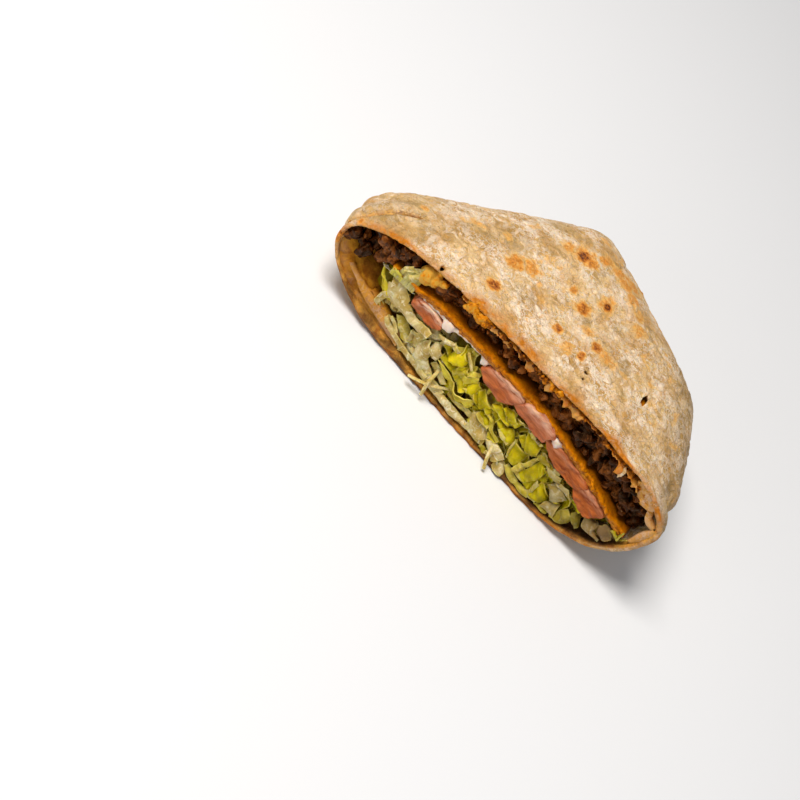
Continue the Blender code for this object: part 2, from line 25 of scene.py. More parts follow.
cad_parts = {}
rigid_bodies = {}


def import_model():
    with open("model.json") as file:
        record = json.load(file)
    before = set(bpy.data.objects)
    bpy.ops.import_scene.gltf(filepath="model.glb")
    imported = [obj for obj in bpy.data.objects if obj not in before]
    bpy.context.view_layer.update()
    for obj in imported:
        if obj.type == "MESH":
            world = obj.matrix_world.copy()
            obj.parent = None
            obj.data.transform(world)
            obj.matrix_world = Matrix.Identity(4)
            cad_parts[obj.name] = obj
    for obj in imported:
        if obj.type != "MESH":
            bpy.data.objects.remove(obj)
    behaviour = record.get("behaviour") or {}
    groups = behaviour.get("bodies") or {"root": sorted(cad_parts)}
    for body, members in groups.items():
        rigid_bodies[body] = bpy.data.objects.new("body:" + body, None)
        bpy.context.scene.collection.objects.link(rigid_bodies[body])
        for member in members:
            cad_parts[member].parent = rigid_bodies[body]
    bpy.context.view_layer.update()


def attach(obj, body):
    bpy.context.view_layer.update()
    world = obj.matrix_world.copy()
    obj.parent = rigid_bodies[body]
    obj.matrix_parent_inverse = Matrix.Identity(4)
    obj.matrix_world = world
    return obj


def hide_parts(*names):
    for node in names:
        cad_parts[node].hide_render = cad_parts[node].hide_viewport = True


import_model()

LOG = logging.getLogger("wrap")
BODY = "root"
MM = 0.001
ORIGIN = np.array((-3.7, 48.3, 0.0))     # middle of the base, from the middle of the cut

Colour = tuple[float, float, float, float]
Curve = Callable[[np.ndarray, np.ndarray], np.ndarray]


# ---- numbers, noise and meshes ---------------------------------------------------
def to_frame(points: np.ndarray) -> np.ndarray:
    """Turn cut millimetres into the frame's metres.

    Args:
        points: places as rows of x, y, z in millimetres.

    Returns:
        The same places in metres, from the middle of the base.
    """
    return (np.asarray(points, float) - ORIGIN) * MM


def smooth(edge0: float, edge1: float, value: np.ndarray) -> np.ndarray:
    """Ease from 0 at edge0 to 1 at edge1.

    Args:
        edge0: value at which the result leaves 0.
        edge1: value at which it reaches 1, which may be the lower of the two.
        value: what is eased.

    Returns:
        The eased share, from 0 to 1.
    """
    share = np.clip((value - edge0) / (edge1 - edge0), 0.0, 1.0)
    return share * share * (3.0 - 2.0 * share)


class Grain:
    """Smooth gradient noise on arrays of places, the same on every run."""

    def __init__(self, seed: int) -> None:
        """Fill the tables of slopes.

        Args:
            seed: picks the pattern.
        """
        chance = np.random.default_rng(seed)
        self.order = chance.permutation(256)
        slopes = chance.normal(size=(256, 3))
        self.slopes = slopes / np.linalg.norm(slopes, axis=1)[:, None]

    def __call__(self, points: np.ndarray, size: float) -> np.ndarray:
        """Evaluate the noise.

        Args:
            points: places as rows of x, y, z.
            size: width of one swelling, in the places' unit.

        Returns:
            One value for each place, about -0.7 to 0.7.
        """
        scaled = np.asarray(points, float) / size
        cell = np.floor(scaled).astype(int)
        part = scaled - cell
        ease = part ** 3 * (part * (part * 6.0 - 15.0) + 10.0)
        total = np.zeros(len(scaled))
        for corner in product((0, 1), repeat=3):
            at = cell + corner
            index = self.order[at[:, 0] & 255]
            index = self.order[(index + at[:, 1]) & 255]
            index = self.order[(index + at[:, 2]) & 255]
            away = part - corner
            weight = np.prod(np.where(corner, ease, 1.0 - ease), axis=1)
            total += weight * np.einsum("ij,ij->i", self.slopes[index], away)
        return total

    def rough(self, points: np.ndarray, size: float, octaves: int = 3) -> np.ndarray:
        """Sum of ever finer noise.

        Args:
            points: places as rows of x, y, z.
            size: width of the coarsest swelling.
            octaves: how many sizes are added, each half the last.

        Returns:
            One value for each place.
        """
        return sum(self(points + 7.3 * k, size * 0.5 ** k) * 0.55 ** k for k in range(octaves))


def make_mesh(name: str, points: np.ndarray, faces: Sequence[Sequence[int]],
              values: dict[str, np.ndarray] | None = None, crisp: float = 180.0) -> bpy.types.Object:
    """Make an object from places in cut millimetres.

    Args:
        name: the object's name.
        points: places as rows of x, y, z in millimetres.
        faces: corner indices of each face.
        values: one number for each point, by attribute name.
        crisp: edges that bend by more degrees than this stay sharp.

    Returns:
        The object, linked to the scene and shaded smooth.
    """
    mesh = bpy.data.meshes.new(name)
    mesh.from_pydata(to_frame(points).tolist(), [], [tuple(map(int, f)) for f in faces])
    mesh.validate()
    for key, numbers in (values or {}).items():
        mesh.attributes.new(key, "FLOAT", "POINT").data.foreach_set("value", np.asarray(numbers, np.float32))
    mesh.shade_smooth()
    if crisp < 180.0:
        mesh.set_sharp_from_angle(angle=math.radians(crisp))
    piece = bpy.data.objects.new(name, mesh)
    bpy.context.scene.collection.objects.link(piece)
    return piece


def face_outwards(piece: bpy.types.Object) -> None:
    """Turn the faces of a closed mesh outwards.

    Args:
        piece: object whose mesh is put right in place.
    """
    work = bmesh.new()
    work.from_mesh(piece.data)
    bmesh.ops.recalc_face_normals(work, faces=work.faces[:])
    if work.calc_volume(signed=True) < 0.0:
        bmesh.ops.reverse_faces(work, faces=work.faces[:])
    work.to_mesh(piece.data)
    work.free()


def baked(piece: bpy.types.Object) -> bpy.types.Object:
    """Replace an object's mesh by its evaluated one and drop its modifiers.

    Args:
        piece: object with live modifiers.

    Returns:
        The same object, now a plain mesh.
    """
    graph = bpy.context.evaluated_depsgraph_get()
    result = bpy.data.meshes.new_from_object(piece.evaluated_get(graph), depsgraph=graph)
    piece.modifiers.clear()
    old, piece.data = piece.data, result
    name = old.name
    bpy.data.meshes.remove(old)
    result.name = name
    return piece


def fit_out(piece: bpy.types.Object, material: bpy.types.Material, slot: str, *nodes: str) -> None:
    """Give a finished piece its material and its place in the part.

    Args:
        piece: the finished object, at the origin.
        material: its finish.
        slot: the record's material slot; not used.
        nodes: the frame's nodes that it stands for.
    """
    piece.data.materials.clear()
    piece.data.materials.append(material)
    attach(piece, BODY)
    if nodes:
        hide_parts(*nodes)
    LOG.info("%s: %d faces", piece.name, len(piece.data.polygons))


# ---- where the photograph was taken from ----------------------------------------
@dataclass(frozen=True)
class PhotoView:
    """The photograph's viewpoint, fitted to the wrap's outline.

    The half leans on its neighbour there; here it rests flat, so the camera is
    rolled instead.
    """

    elevation: float = 43.0        # degrees above the cut's own horizon
    roll: float = 47.5             # degrees by which the picture is turned
    distance: float = 700.0        # mm
    focal: float = 1915.0          # focal length in pixels of the photograph
    side: float = 800.0            # the photograph's width in pixels
    aim: tuple[float, float, float] = (0.0, 0.0, 32.0)
    aim_pixel: tuple[float, float] = (505.0, 388.0)
    sensor: float = 36.0

    def axes(self) -> np.ndarray:
        """Rows: the picture's right, its up, and the way towards the camera."""
        rise, turn = math.radians(self.elevation), math.radians(self.roll)
        towards = np.array((0.0, -math.cos(rise), math.sin(rise)))
        level = np.array((1.0, 0.0, 0.0))
        upright = np.cross(towards, level)
        right = math.cos(turn) * level + math.sin(turn) * upright
        up = math.cos(turn) * upright - math.sin(turn) * level
        return np.array((right, up, towards))

    def place(self) -> np.ndarray:
        """Where the camera stands, in cut millimetres."""
        right, up, towards = self.axes()
        across = (self.aim_pixel[0] - 0.5 * self.side) / self.focal * self.distance
        above = (0.5 * self.side - self.aim_pixel[1]) / self.focal * self.distance
        return np.array(self.aim) + towards * self.distance - right * across - up * above

    def behind(self, x: float, z: float, y: float) -> np.ndarray:
        """Move a place seen on the cut back along the line of sight.

        Args:
            x: where it is seen along the cut.
            z: the height at which it is seen.
            y: the depth at which it really lies.

        Returns:
            The real place, which looks the same from the camera.
        """
        eye = self.place()
        share = (y - eye[1]) / (0.0 - eye[1])
        return eye + (np.array((x, 0.0, z)) - eye) * share

    def seen(self, pixel_x: float, pixel_y: float, y: float) -> np.ndarray:
        """Place at depth y that the photograph shows at a pixel."""
        right, up, towards = self.axes()
        eye = self.place()
        away = (right * (pixel_x - 0.5 * self.side) + up * (0.5 * self.side - pixel_y)) / self.focal - towards
        return eye + away * (y - eye[1]) / away[1]

    def matrix(self, place: np.ndarray, axes: np.ndarray) -> Matrix:
        """Matrix of an object at a place whose local axes are the rows of axes."""
        spot = to_frame(place)
        rows = [(*axes[:, k], spot[k]) for k in range(3)]
        return Matrix((*rows, (0.0, 0.0, 0.0, 1.0)))

    def build(self) -> bpy.types.Object:
        """Add the camera and make it the scene's own."""
        data = bpy.data.cameras.new("photo_view")
        data.sensor_width = self.sensor
        data.lens = self.focal * self.sensor / self.side
        data.clip_start, data.clip_end = 0.01, 20.0
        camera = bpy.data.objects.new("photo_view", data)
        bpy.context.scene.collection.objects.link(camera)
        camera.matrix_world = self.matrix(self.place(), self.axes())
        bpy.context.scene.camera = camera
        return camera


@dataclass
class Studio:
    """A pale floor, soft lamps that stand where the photograph's did, and a pale surround."""

    view: PhotoView
    floor_half: float = 4.0                    # metres
    floor_colour: str = "#EEF3FD"
    surround: str = "#FBFAF8"
    surround_strength: float = 0.2
    # Each lamp: direction in the picture's axes (right, up, towards), size in metres, watts, colour.
    lamps: tuple[tuple[tuple[float, float, float], float, float, str], ...] = (
        ((0.12, 0.6, 0.8), 0.5, 13.0, "#FFF6E8"),
        ((0.75, 0.25, 0.85), 0.9, 0.35, "#FFFFFF"),
        ((-0.8, -0.3, 0.8), 0.8, 2.8, "#FFFFFF"),
    )
    lamp_distance: float = 1.1

    def build(self) -> None:
        """Add the floor, the lamps and the surround."""
        half = self.floor_half
        corners = [(-half, -half, 0.0), (half, -half, 0.0), (half, half, 0.0), (-half, half, 0.0)]
        mesh = bpy.data.meshes.new("floor")
        mesh.from_pydata(corners, [], [(0, 1, 2, 3)])
        floor = bpy.data.objects.new("floor", mesh)
        bpy.context.scene.collection.objects.link(floor)
        finish = Finish("painted studio floor", roughness=0.85, ior=1.3)
        material, _, shader = finish.start()
        shader.inputs["Base Color"].default_value = linear(self.floor_colour)
        mesh.materials.append(material)
        for number, (direction, size, power, colour) in enumerate(self.lamps):
            self.lamp(f"lamp_{number}", np.array(direction), size, power, colour)
        world = bpy.data.worlds.new("surround")
        world.use_nodes = True
        light = world.node_tree.nodes["Background"]
        light.inputs["Color"].default_value = linear(self.surround)
        light.inputs["Strength"].default_value = self.surround_strength
        scene = bpy.context.scene
        scene.world = world
        scene.view_settings.view_transform = "Standard"

    def lamp(self, name: str, direction: np.ndarray, size: float, power: float, colour: str) -> None:
        """Add one square soft lamp that faces the wrap.

        Args:
            name: the lamp's name.
            direction: the way to it from the wrap, in the picture's axes.
            size: its side in metres.
            power: its power in watts.
            colour: its colour, as sRGB hex.
        """
        data = bpy.data.lights.new(name, "AREA")
        data.energy = power
        data.size = size
        data.color = linear(colour)[:3]
        lamp = bpy.data.objects.new(name, data)
        bpy.context.scene.collection.objects.link(lamp)
        away = (direction / np.linalg.norm(direction)) @ self.view.axes()
        away[2] = max(away[2], 0.12)
        away /= np.linalg.norm(away)
        middle = np.array((0.0, 25.0, 30.0))
        side = np.cross((0.0, 0.0, 1.0), away)
        side /= np.linalg.norm(side)
        axes = np.array((side, np.cross(away, side), away))
        lamp.matrix_world = self.view.matrix(middle + away * self.lamp_distance / MM, axes)


# ---- finishes ----------------------------------------------------------------------
def linear(code: str) -> Colour:
    """Turn an sRGB hex colour into linear red, green, blue and alpha."""
    parts = [int(code[k:k + 2], 16) / 255.0 for k in (1, 3, 5)]
    red, green, blue = [p / 12.92 if p <= 0.04045 else ((p + 0.055) / 1.055) ** 2.4 for p in parts]
    return red, green, blue, 1.0


def add(tree: bpy.types.NodeTree, kind: str, inputs: dict[int | str, object] | None = None,
        stops: Sequence[tuple[float, str | float]] = (), **settings: object) -> bpy.types.Node:
    """Add a node with its settings and links.

    Args:
        tree: the node tree it joins.
        kind: the node's type.
        inputs: by socket, a socket to link from or a value.
        stops: places and colours of a colour ramp, as hex or as a grey from 0 to 1.
        settings: the node's own properties.

    Returns:
        The new node.
    """
    made = tree.nodes.new(kind)
    for key, value in settings.items():
        setattr(made, key, value)
    for key, value in (inputs or {}).items():
        if isinstance(value, bpy.types.NodeSocket):
            tree.links.new(value, made.inputs[key])
        else:
            made.inputs[key].default_value = value
    if stops:
        marks = made.color_ramp.elements
        while len(marks) < len(stops):
            marks.new(0.5)
        for mark, (place, colour) in zip(marks, stops):
            mark.position = place
            mark.color = linear(colour) if isinstance(colour, str) else (colour, colour, colour, 1.0)
    return made


@dataclass(frozen=True)
class Finish:
    """What every finish states: its name and how its surface takes the light."""

    name: str
    roughness: float
    ior: float = 1.45
    gloss: float = 0.5             # how much of the surface's reflection shows
    sheen: str = "#FFFFFF"         # colour of that reflection, warmed where food faces food
    glow: float = 0.0              # share of light that travels below the surface
    glow_depth: float = 1.0        # how far it travels, mm
    coat: float = 0.0              # a damp or greasy coating
    coat_roughness: float = 0.15

    def start(self) -> tuple[bpy.types.Material, bpy.types.NodeTree, bpy.types.Node]:
        """Make the material and set what is the same all over it.

        Returns:
            The material, its node tree and its shader node.
        """
        material = bpy.data.materials.new(self.name)
        material.use_nodes = True
        tree = material.node_tree
        shader = tree.nodes["Principled BSDF"]
        shader.inputs["Roughness"].default_value = self.roughness
        shader.inputs["IOR"].default_value = self.ior
        shader.inputs["Specular IOR Level"].default_value = self.gloss
        shader.inputs["Specular Tint"].default_value = linear(self.sheen)
        shader.inputs["Subsurface Weight"].default_value = self.glow
        shader.inputs["Subsurface Radius"].default_value = (1.0, 0.55, 0.25)
        shader.inputs["Subsurface Scale"].default_value = self.glow_depth * MM
        shader.inputs["Coat Weight"].default_value = self.coat
        shader.inputs["Coat Roughness"].default_value = self.coat_roughness
        return material, tree, shader

    def pattern(self, tree: bpy.types.NodeTree, size: float, detail: float = 4.0,
                roughness: float = 0.55, distortion: float = 0.0) -> bpy.types.NodeSocket:
        """Noise whose swellings are size millimetres wide.

        Args:
            tree: the material's node tree.
            size: width of a swelling, mm.
            detail: how many finer sizes are added.
            roughness: how strong those are.
            distortion: how far the pattern is swirled.

        Returns:
            The noise's value, about 0.5 in its middle.
        """
        place = add(tree, "ShaderNodeTexCoord").outputs["Object"]
        return add(tree, "ShaderNodeTexNoise", {
            "Vector": place, "Scale": 1.0 / (size * MM), "Detail": detail,
            "Roughness": roughness, "Distortion": distortion}).outputs["Fac"]

    def net(self, tree: bpy.types.NodeTree, size: float, warp: float) -> bpy.types.NodeSocket:
        """Distance from a net of crooked lines, 0 on them.

        Args:
            tree: the material's node tree.
            size: width of the net's meshes, mm.
            warp: how far the lines are bent, mm.

        Returns:
            The distance, as a share of the size.
        """
        place = add(tree, "ShaderNodeTexCoord").outputs["Object"]
        swirl = add(tree, "ShaderNodeTexNoise", {
            "Vector": place, "Scale": 1.0 / (size * MM), "Detail": 4.0, "Roughness": 0.6}).outputs["Color"]
        shift = add(tree, "ShaderNodeVectorMath", {0: swirl, 1: (0.5, 0.5, 0.5)}, operation="SUBTRACT").outputs[0]
        shift = add(tree, "ShaderNodeVectorMath", {0: shift, "Scale": 4.0 * warp * MM}, operation="SCALE").outputs[0]
        moved = add(tree, "ShaderNodeVectorMath", {0: place, 1: shift}, operation="ADD").outputs[0]
        return add(tree, "ShaderNodeTexVoronoi", {"Vector": moved, "Scale": 1.0 / (size * MM)},
                   feature="DISTANCE_TO_EDGE").outputs["Distance"]

    def value(self, tree: bpy.types.NodeTree, name: str) -> bpy.types.NodeSocket:
        """Number that the mesh carries under a name."""
        return add(tree, "ShaderNodeAttribute", attribute_name=name).outputs["Fac"]

    def blend(self, tree: bpy.types.NodeTree, share: object, first: object, second: object,
              mode: str = "MIX") -> bpy.types.NodeSocket:
        """Mix two colours.

        Args:
            tree: the material's node tree.
            share: how much of the second, a number or a socket.
            first: the first colour, as hex or a socket.
            second: the second colour, as hex or a socket.
            mode: Blender's name for the way of mixing.

        Returns:
            The mixed colour.
        """
        pair = [linear(c) if isinstance(c, str) else c for c in (first, second)]
        return add(tree, "ShaderNodeMix", {0: share, 6: pair[0], 7: pair[1]},
                   data_type="RGBA", blend_type=mode).outputs[2]

    def maths(self, tree: bpy.types.NodeTree, operation: str, *values: object) -> bpy.types.NodeSocket:
        """Result of one sum on numbers or sockets."""
        return add(tree, "ShaderNodeMath", dict(enumerate(values)), operation=operation).outputs[0]

    def ramp(self, tree: bpy.types.NodeTree, value: bpy.types.NodeSocket,
             *stops: tuple[float, str | float]) -> bpy.types.NodeSocket:
        """Colour or grey of a value by its place between stops."""
        return add(tree, "ShaderNodeValToRGB", {0: value}, stops).outputs[0]

    def relief(self, tree: bpy.types.NodeTree, shader: bpy.types.Node,
               *layers: tuple[bpy.types.NodeSocket, float]) -> None:
        """Bump the surface.

        Args:
            tree: the material's node tree.
            shader: the shader that gets the bumped normal.
            layers: heights from 0 to 1, each with its depth in millimetres.
        """
        normal = None
        for height, depth in layers:
            inputs = {"Height": height, "Distance": depth * MM, "Strength": 1.0}
            if normal:
                inputs["Normal"] = normal
            normal = add(tree, "ShaderNodeBump", inputs).outputs["Normal"]
        tree.links.new(normal, shader.inputs["Normal"])


@dataclass(frozen=True)
class GriddledTortilla(Finish):
    """Wheat flour tortilla, rolled thin and toasted dry on a hot plate.

    Dry flour stays pale on the raised skin, the dough looks tan and waxy where
    it stayed damp, and it browns in spots where a bubble touched the plate.
    The same tan darkens both ends and a dark brown darkens the lining further
    inside, both as painted shade.
    """

    name: str = "flour tortilla, griddled"
    roughness: float = 0.62
    ior: float = 1.38
    gloss: float = 0.35
    glow: float = 0.12
    glow_depth: float = 1.2
    cream: str = "#E8C48C"
    tan: str = "#C99A58"
    flour: str = "#F9E6D0"
    blush: str = "#DDB28C"
    waxy: str = "#AC8A52"
    crack: str = "#94703C"
    golden: str = "#F0BC6C"
    orange: str = "#E0943C"
    brown: str = "#A85A14"
    burnt: str = "#5E2A0C"
    grease: str = "#CC7C18"
    lining: str = "#E4A440"
    lining_dark: str = "#A8661A"
    # dark brown of painted shade inside the wrap and of the lower rim browned by meat juices
    soaked_and_shade: str = "#3A1B04"
    speck: str = "#6B543C"
    rough: float = 1.0             # how deep its relief is

    def build(self) -> bpy.types.Material:
        """Make the material."""
        material, tree, shader = self.start()
        broad = self.pattern(tree, 15.0, 5.0, 0.6)
        skin = self.pattern(tree, 5.2, 6.0, 0.62, 1.0)
        curdled = self.pattern(tree, 1.9, 4.0, 0.55, 1.4)
        grain = self.pattern(tree, 0.7, 3.0, 0.6)
        worms = self.net(tree, 2.6, 1.3)
        base = self.blend(tree, self.ramp(tree, broad, (0.4, 0.0), (0.56, 1.0)), self.tan, self.cream)
        base = self.blend(tree, self.ramp(tree, self.pattern(tree, 8.0, 3.0), (0.5, 0.0), (0.7, 0.5)),
                          base, self.blush)
        # Flour stays on the skin's high places and on the crooked ridges between its bubbles.
        dusted = self.maths(tree, "MULTIPLY", self.ramp(tree, skin, (0.48, 0.0), (0.545, 1.0)),
                            self.ramp(tree, curdled, (0.38, 0.25), (0.52, 1.0)))
        crusty = self.ramp(tree, self.pattern(tree, 12.0, 3.0), (0.4, 0.15), (0.56, 1.0))
        ridges = self.maths(tree, "MULTIPLY", self.ramp(tree, worms, (0.03, 1.0), (0.12, 0.0)), crusty)
        white = self.maths(tree, "MAXIMUM", self.maths(tree, "MULTIPLY", dusted, 0.9), self.maths(
            tree, "MULTIPLY", ridges, 0.8))
        white = self.maths(tree, "MULTIPLY", white, self.ramp(
            tree, self.pattern(tree, 13.0, 4.0, 0.6), (0.42, 0.25), (0.54, 1.15)))
        moist_and_shade = self.maths(tree, "MULTIPLY", self.value(tree, "moist_and_shade"), self.maths(
            tree, "MULTIPLY", self.ramp(tree, curdled, (0.3, 0.55), (0.55, 1.0)),
            self.ramp(tree, self.pattern(tree, 6.5, 4.0, 0.6), (0.42, 0.35), (0.56, 1.3))))
        base = self.blend(tree, self.ramp(tree, skin, (0.36, 0.7), (0.46, 0.0)), base, self.waxy)
        # Waxy tan where the dough stayed damp, and painted shade at the two ends.
        base = self.blend(tree, moist_and_shade, base, self.waxy)
        base = self.blend(tree, self.maths(tree, "MULTIPLY", white, self.maths(
            tree, "MULTIPLY_ADD", moist_and_shade, -0.75, 1.0)), base, self.flour)
        cracks = self.ramp(tree, self.net(tree, 4.2, 2.2), (0.0, 0.75), (0.035, 0.0))
        base = self.blend(tree, self.maths(tree, "MULTIPLY", cracks, self.ramp(
            tree, self.pattern(tree, 7.0, 2.0), (0.46, 0.0), (0.56, 1.0))), base, self.crack)
        specks = self.ramp(tree, self.pattern(tree, 1.15, 2.0, 0.5), (0.66, 0.0), (0.72, 1.0))
        patchy = self.ramp(tree, self.pattern(tree, 11.0, 2.0), (0.45, 0.05), (0.62, 0.8))
        base = self.blend(tree, self.maths(tree, "MULTIPLY", specks, patchy), base, self.speck)
        toast = self.maths(tree, "ADD", self.value(tree, "toast"), self.maths(
            tree, "MULTIPLY", self.value(tree, "toast"), self.maths(tree, "MULTIPLY_ADD", curdled, 1.8, -0.9)))
        browned = self.ramp(tree, toast, (0.3, self.golden), (0.52, self.orange), (0.82, self.brown),
                            (1.0, self.burnt))
        base = self.blend(tree, self.ramp(tree, toast, (0.06, 0.0), (0.42, 1.0)), base, browned)
        plain = self.ramp(tree, toast, (0.1, 0.32), (0.45, 0.06))
        base = self.blend(tree, self.maths(tree, "MULTIPLY", ridges, plain), base, self.flour)
        greasy = self.maths(tree, "MULTIPLY", self.value(tree, "stain"),
                            self.ramp(tree, skin, (0.35, 0.3), (0.6, 1.3)))
        base = self.blend(tree, greasy, base, self.grease, "MIX")
        lined = self.blend(tree, self.ramp(tree, skin, (0.4, 0.0), (0.62, 1.0)), self.lining, self.lining_dark)
        base = self.blend(tree, self.value(tree, "inside"), base, lined)
        base = self.blend(tree, self.value(tree, "dark"), base, self.soaked_and_shade)
        tree.links.new(base, shader.inputs["Base Color"])
        raised = self.ramp(tree, worms, (0.0, 1.0), (0.16, 0.0))
        self.relief(tree, shader, (skin, 0.8 * self.rough), (raised, 0.22 * self.rough),
                    (curdled, 0.4 * self.rough), (grain, 0.14))
        return material


# ---- the wrap's form --------------------------------------------------------------
@dataclass
class WrapForm:
    """The folded tortilla's true form: a bag whose plan is a rounded hexagon.

    Repeats the driving sizes of the frame, in millimetres and degrees.
    """

    # Each side of the plan: direction of its normal, distance, wall thickness.
    sides: tuple[tuple[float, float, float], ...] = (
        (192.0, 81.0, 2.4), (139.0, 81.5, 2.3), (65.5, 89.0, 2.3), (20.0, 79.5, 3.2), (-8.0, 78.0, 3.4))
    corner_power: float = 22.0
    top_wall: float = 2.2
    bottom_wall: float = 3.0
    rim_height: float = 31.5
    rim_rise: float = 4.5
    crown_height: float = 51.5
    crown_rise: float = 2.5
    hump: float = 0.8
    hump_width: float = 26.0
    rest_depth: float = 0.7
    top_power: tuple[float, float] = (3.0, 5.5)        # beside the cut, and behind
    bottom_power: tuple[float, float] = (4.0, 8.0)
    flap_edges: tuple[float, ...] = (165.0, 99.0, 50.5)
    flap_step: float = 1.3
    flap_ramp: float = 26.0
    flap_edge_width: float = 0.8
    stack_steps: tuple[tuple[float, float, float], ...] = ((-70.0, -22.0, 1.5), (-58.0, -30.0, 1.3))
    stack_depth: float = 30.0
    clear: float = 0.8

    def gauge(self, x: np.ndarray, y: np.ndarray, inset: float = 0.0, walls: bool = False) -> np.ndarray:
        """1 on the plan's outline and less inside it.

        Args:
            x: places along the cut.
            y: depths.
            inset: how far every side is moved inwards.
            walls: whether the wall's thickness is taken off as well.

        Returns:
            The gauge, which grows in proportion to the distance from the origin.
        """
        total = np.zeros(np.broadcast(x, y).shape)
        for direction, distance, wall in self.sides:
            angle = math.radians(direction)
            reach = distance - inset - (wall if walls else 0.0)
            total = total + np.maximum(0.0, (x * math.cos(angle) + y * math.sin(angle)) / reach) ** self.corner_power
        return total ** (1.0 / self.corner_power)

    def rim(self, x: np.ndarray, y: np.ndarray) -> np.ndarray:
        """Height at which the side wall stands furthest out."""
        rise = self.rim_rise * x / 80.0 * np.exp(-np.maximum(y, 0.0) / 50.0)
        return self.rim_height + rise + y / 90.0

    def crown(self, x: np.ndarray, y: np.ndarray) -> np.ndarray:
        """Height of the top before it rounds off."""
        rise = self.crown_rise * np.tanh(x / 40.0) * np.exp(-np.maximum(y, 0.0) / 60.0)
        flat_x, flat_y = np.broadcast_arrays(x, y)
        places = zip(flat_x.ravel() / self.hump_width, flat_y.ravel() / self.hump_width)
        humps = np.array([noise.noise((u, v, 4.0)) for u, v in places]).reshape(flat_x.shape)
        return self.crown_height + rise + 0.5 * y / 90.0 + self.hump * humps

    def fullness(self, x: np.ndarray, y: np.ndarray, upper: bool) -> np.ndarray:
        """Power of the rounding, softer beside the cut."""
        cut, back = self.top_power if upper else self.bottom_power
        return cut + (back - cut) * y * y / (x * x + y * y + 1e-9)

    def top(self, x: np.ndarray, y: np.ndarray, inset: float = 0.0, walls: bool = False,
            wall: float = 0.0) -> np.ndarray:
        """Height of the upper sheet, or of an inside offset of it."""
        gauge = np.minimum(1.0, self.gauge(x, y, inset, walls))
        rim = self.rim(x, y)
        fall = np.sqrt(np.maximum(0.0, 1.0 - gauge ** self.fullness(x, y, True)))
        return rim + (self.crown(x, y) - wall - rim) * fall

    def bottom(self, x: np.ndarray, y: np.ndarray, inset: float = 0.0, walls: bool = False,
               wall: float = 0.0) -> np.ndarray:
        """Height of the lower sheet, flat where it rests."""
        gauge = np.minimum(1.0, self.gauge(x, y, inset, walls))
        rim = self.rim(x, y)
        fall = np.sqrt(np.maximum(0.0, 1.0 - gauge ** self.fullness(x, y, False)))
        return np.maximum(wall, rim - (rim + self.rest_depth - wall) * fall)

    def flap_relief(self, angle: np.ndarray, share: np.ndarray) -> np.ndarray:
        """How far the underside lies above the floor: each flap dips under the next."""
        lift = np.zeros(np.broadcast(angle, share).shape)
        for edge in self.flap_edges:
            behind = angle - edge
            dip = np.where((behind >= -self.flap_edge_width) & (behind < self.flap_ramp),
                           smooth(-self.flap_edge_width, 0.0, behind) * (1.0 - np.maximum(behind, 0.0) / self.flap_ramp),
                           0.0)
            lift = np.maximum(lift, self.flap_step * dip)
        return lift * smooth(0.15, 0.32, share) * (1.0 - smooth(0.9, 1.0, share))

    def stack_relief(self, x: np.ndarray, y: np.ndarray) -> np.ndarray:
        """Extra thickness inside, where the flaps' ends lie stacked."""
        lift = np.zeros(np.broadcast(x, y).shape)
        for left, right, height in self.stack_steps:
            lift = lift + height * smooth(left - 3.0, left + 3.0, x) * (1.0 - smooth(right - 8.0, right, x))
        return lift * (1.0 - smooth(self.stack_depth - 12.0, self.stack_depth, y))

    def side_reach(self, y: np.ndarray, side: int) -> np.ndarray:
        """Where the inside ends at depth y, to the left (-1) or right (1)."""
        near = np.full(np.shape(y), -14.0)
        far = np.full(np.shape(y), side * 110.0)
        for _ in range(36):
            middle = 0.5 * (near + far)
            inside = self.gauge(middle, y, self.clear, True) < 1.0
            near, far = np.where(inside, middle, near), np.where(inside, far, middle)
        return near

    def inside_span(self, x: np.ndarray, y: np.ndarray) -> tuple[np.ndarray, np.ndarray]:
        """Lowest and highest place of the inside, clear of the walls."""
        low = self.bottom(x, y, self.clear, True, self.bottom_wall) + self.stack_relief(x, y) + self.clear
        return low, self.top(x, y, self.clear, True, self.top_wall) - self.clear

    def carried(self, x: np.ndarray, z: np.ndarray, y: np.ndarray) -> np.ndarray:
        """Carry places drawn on the cut back to depth y.

        Args:
            x: where they are drawn along the cut.
            z: the heights they are drawn at.
            y: the depths they are carried to; before the cut nothing shifts.

        Returns:
            Rows of x, y, z.
        """
        x, z, y = [np.asarray(a, float) for a in np.broadcast_arrays(x, z, y)]
        depth = np.maximum(y, 0.0)
        zero = np.zeros_like(depth)
        left, right = self.side_reach(depth, -1), self.side_reach(depth, 1)
        first, last = self.side_reach(zero, -1), self.side_reach(zero, 1)
        low, high = self.inside_span(x, zero)
        share = (z - low) / (high - low)
        there = left + (x - first) / (last - first) * (right - left)
        low, high = self.inside_span(there, depth)
        return np.stack((there, y, low + share * (high - low)), -1)


# ---- the tortilla ---------------------------------------------------------------------
class Mark(Enum):
    """What a mark on the upper side is."""

    SPOT = "round spot where a bubble browned"
    PATCH = "broad golden patch"
    # Some WAXY marks paint shade at the left end instead.
    WAXY = "patch that stayed moist"


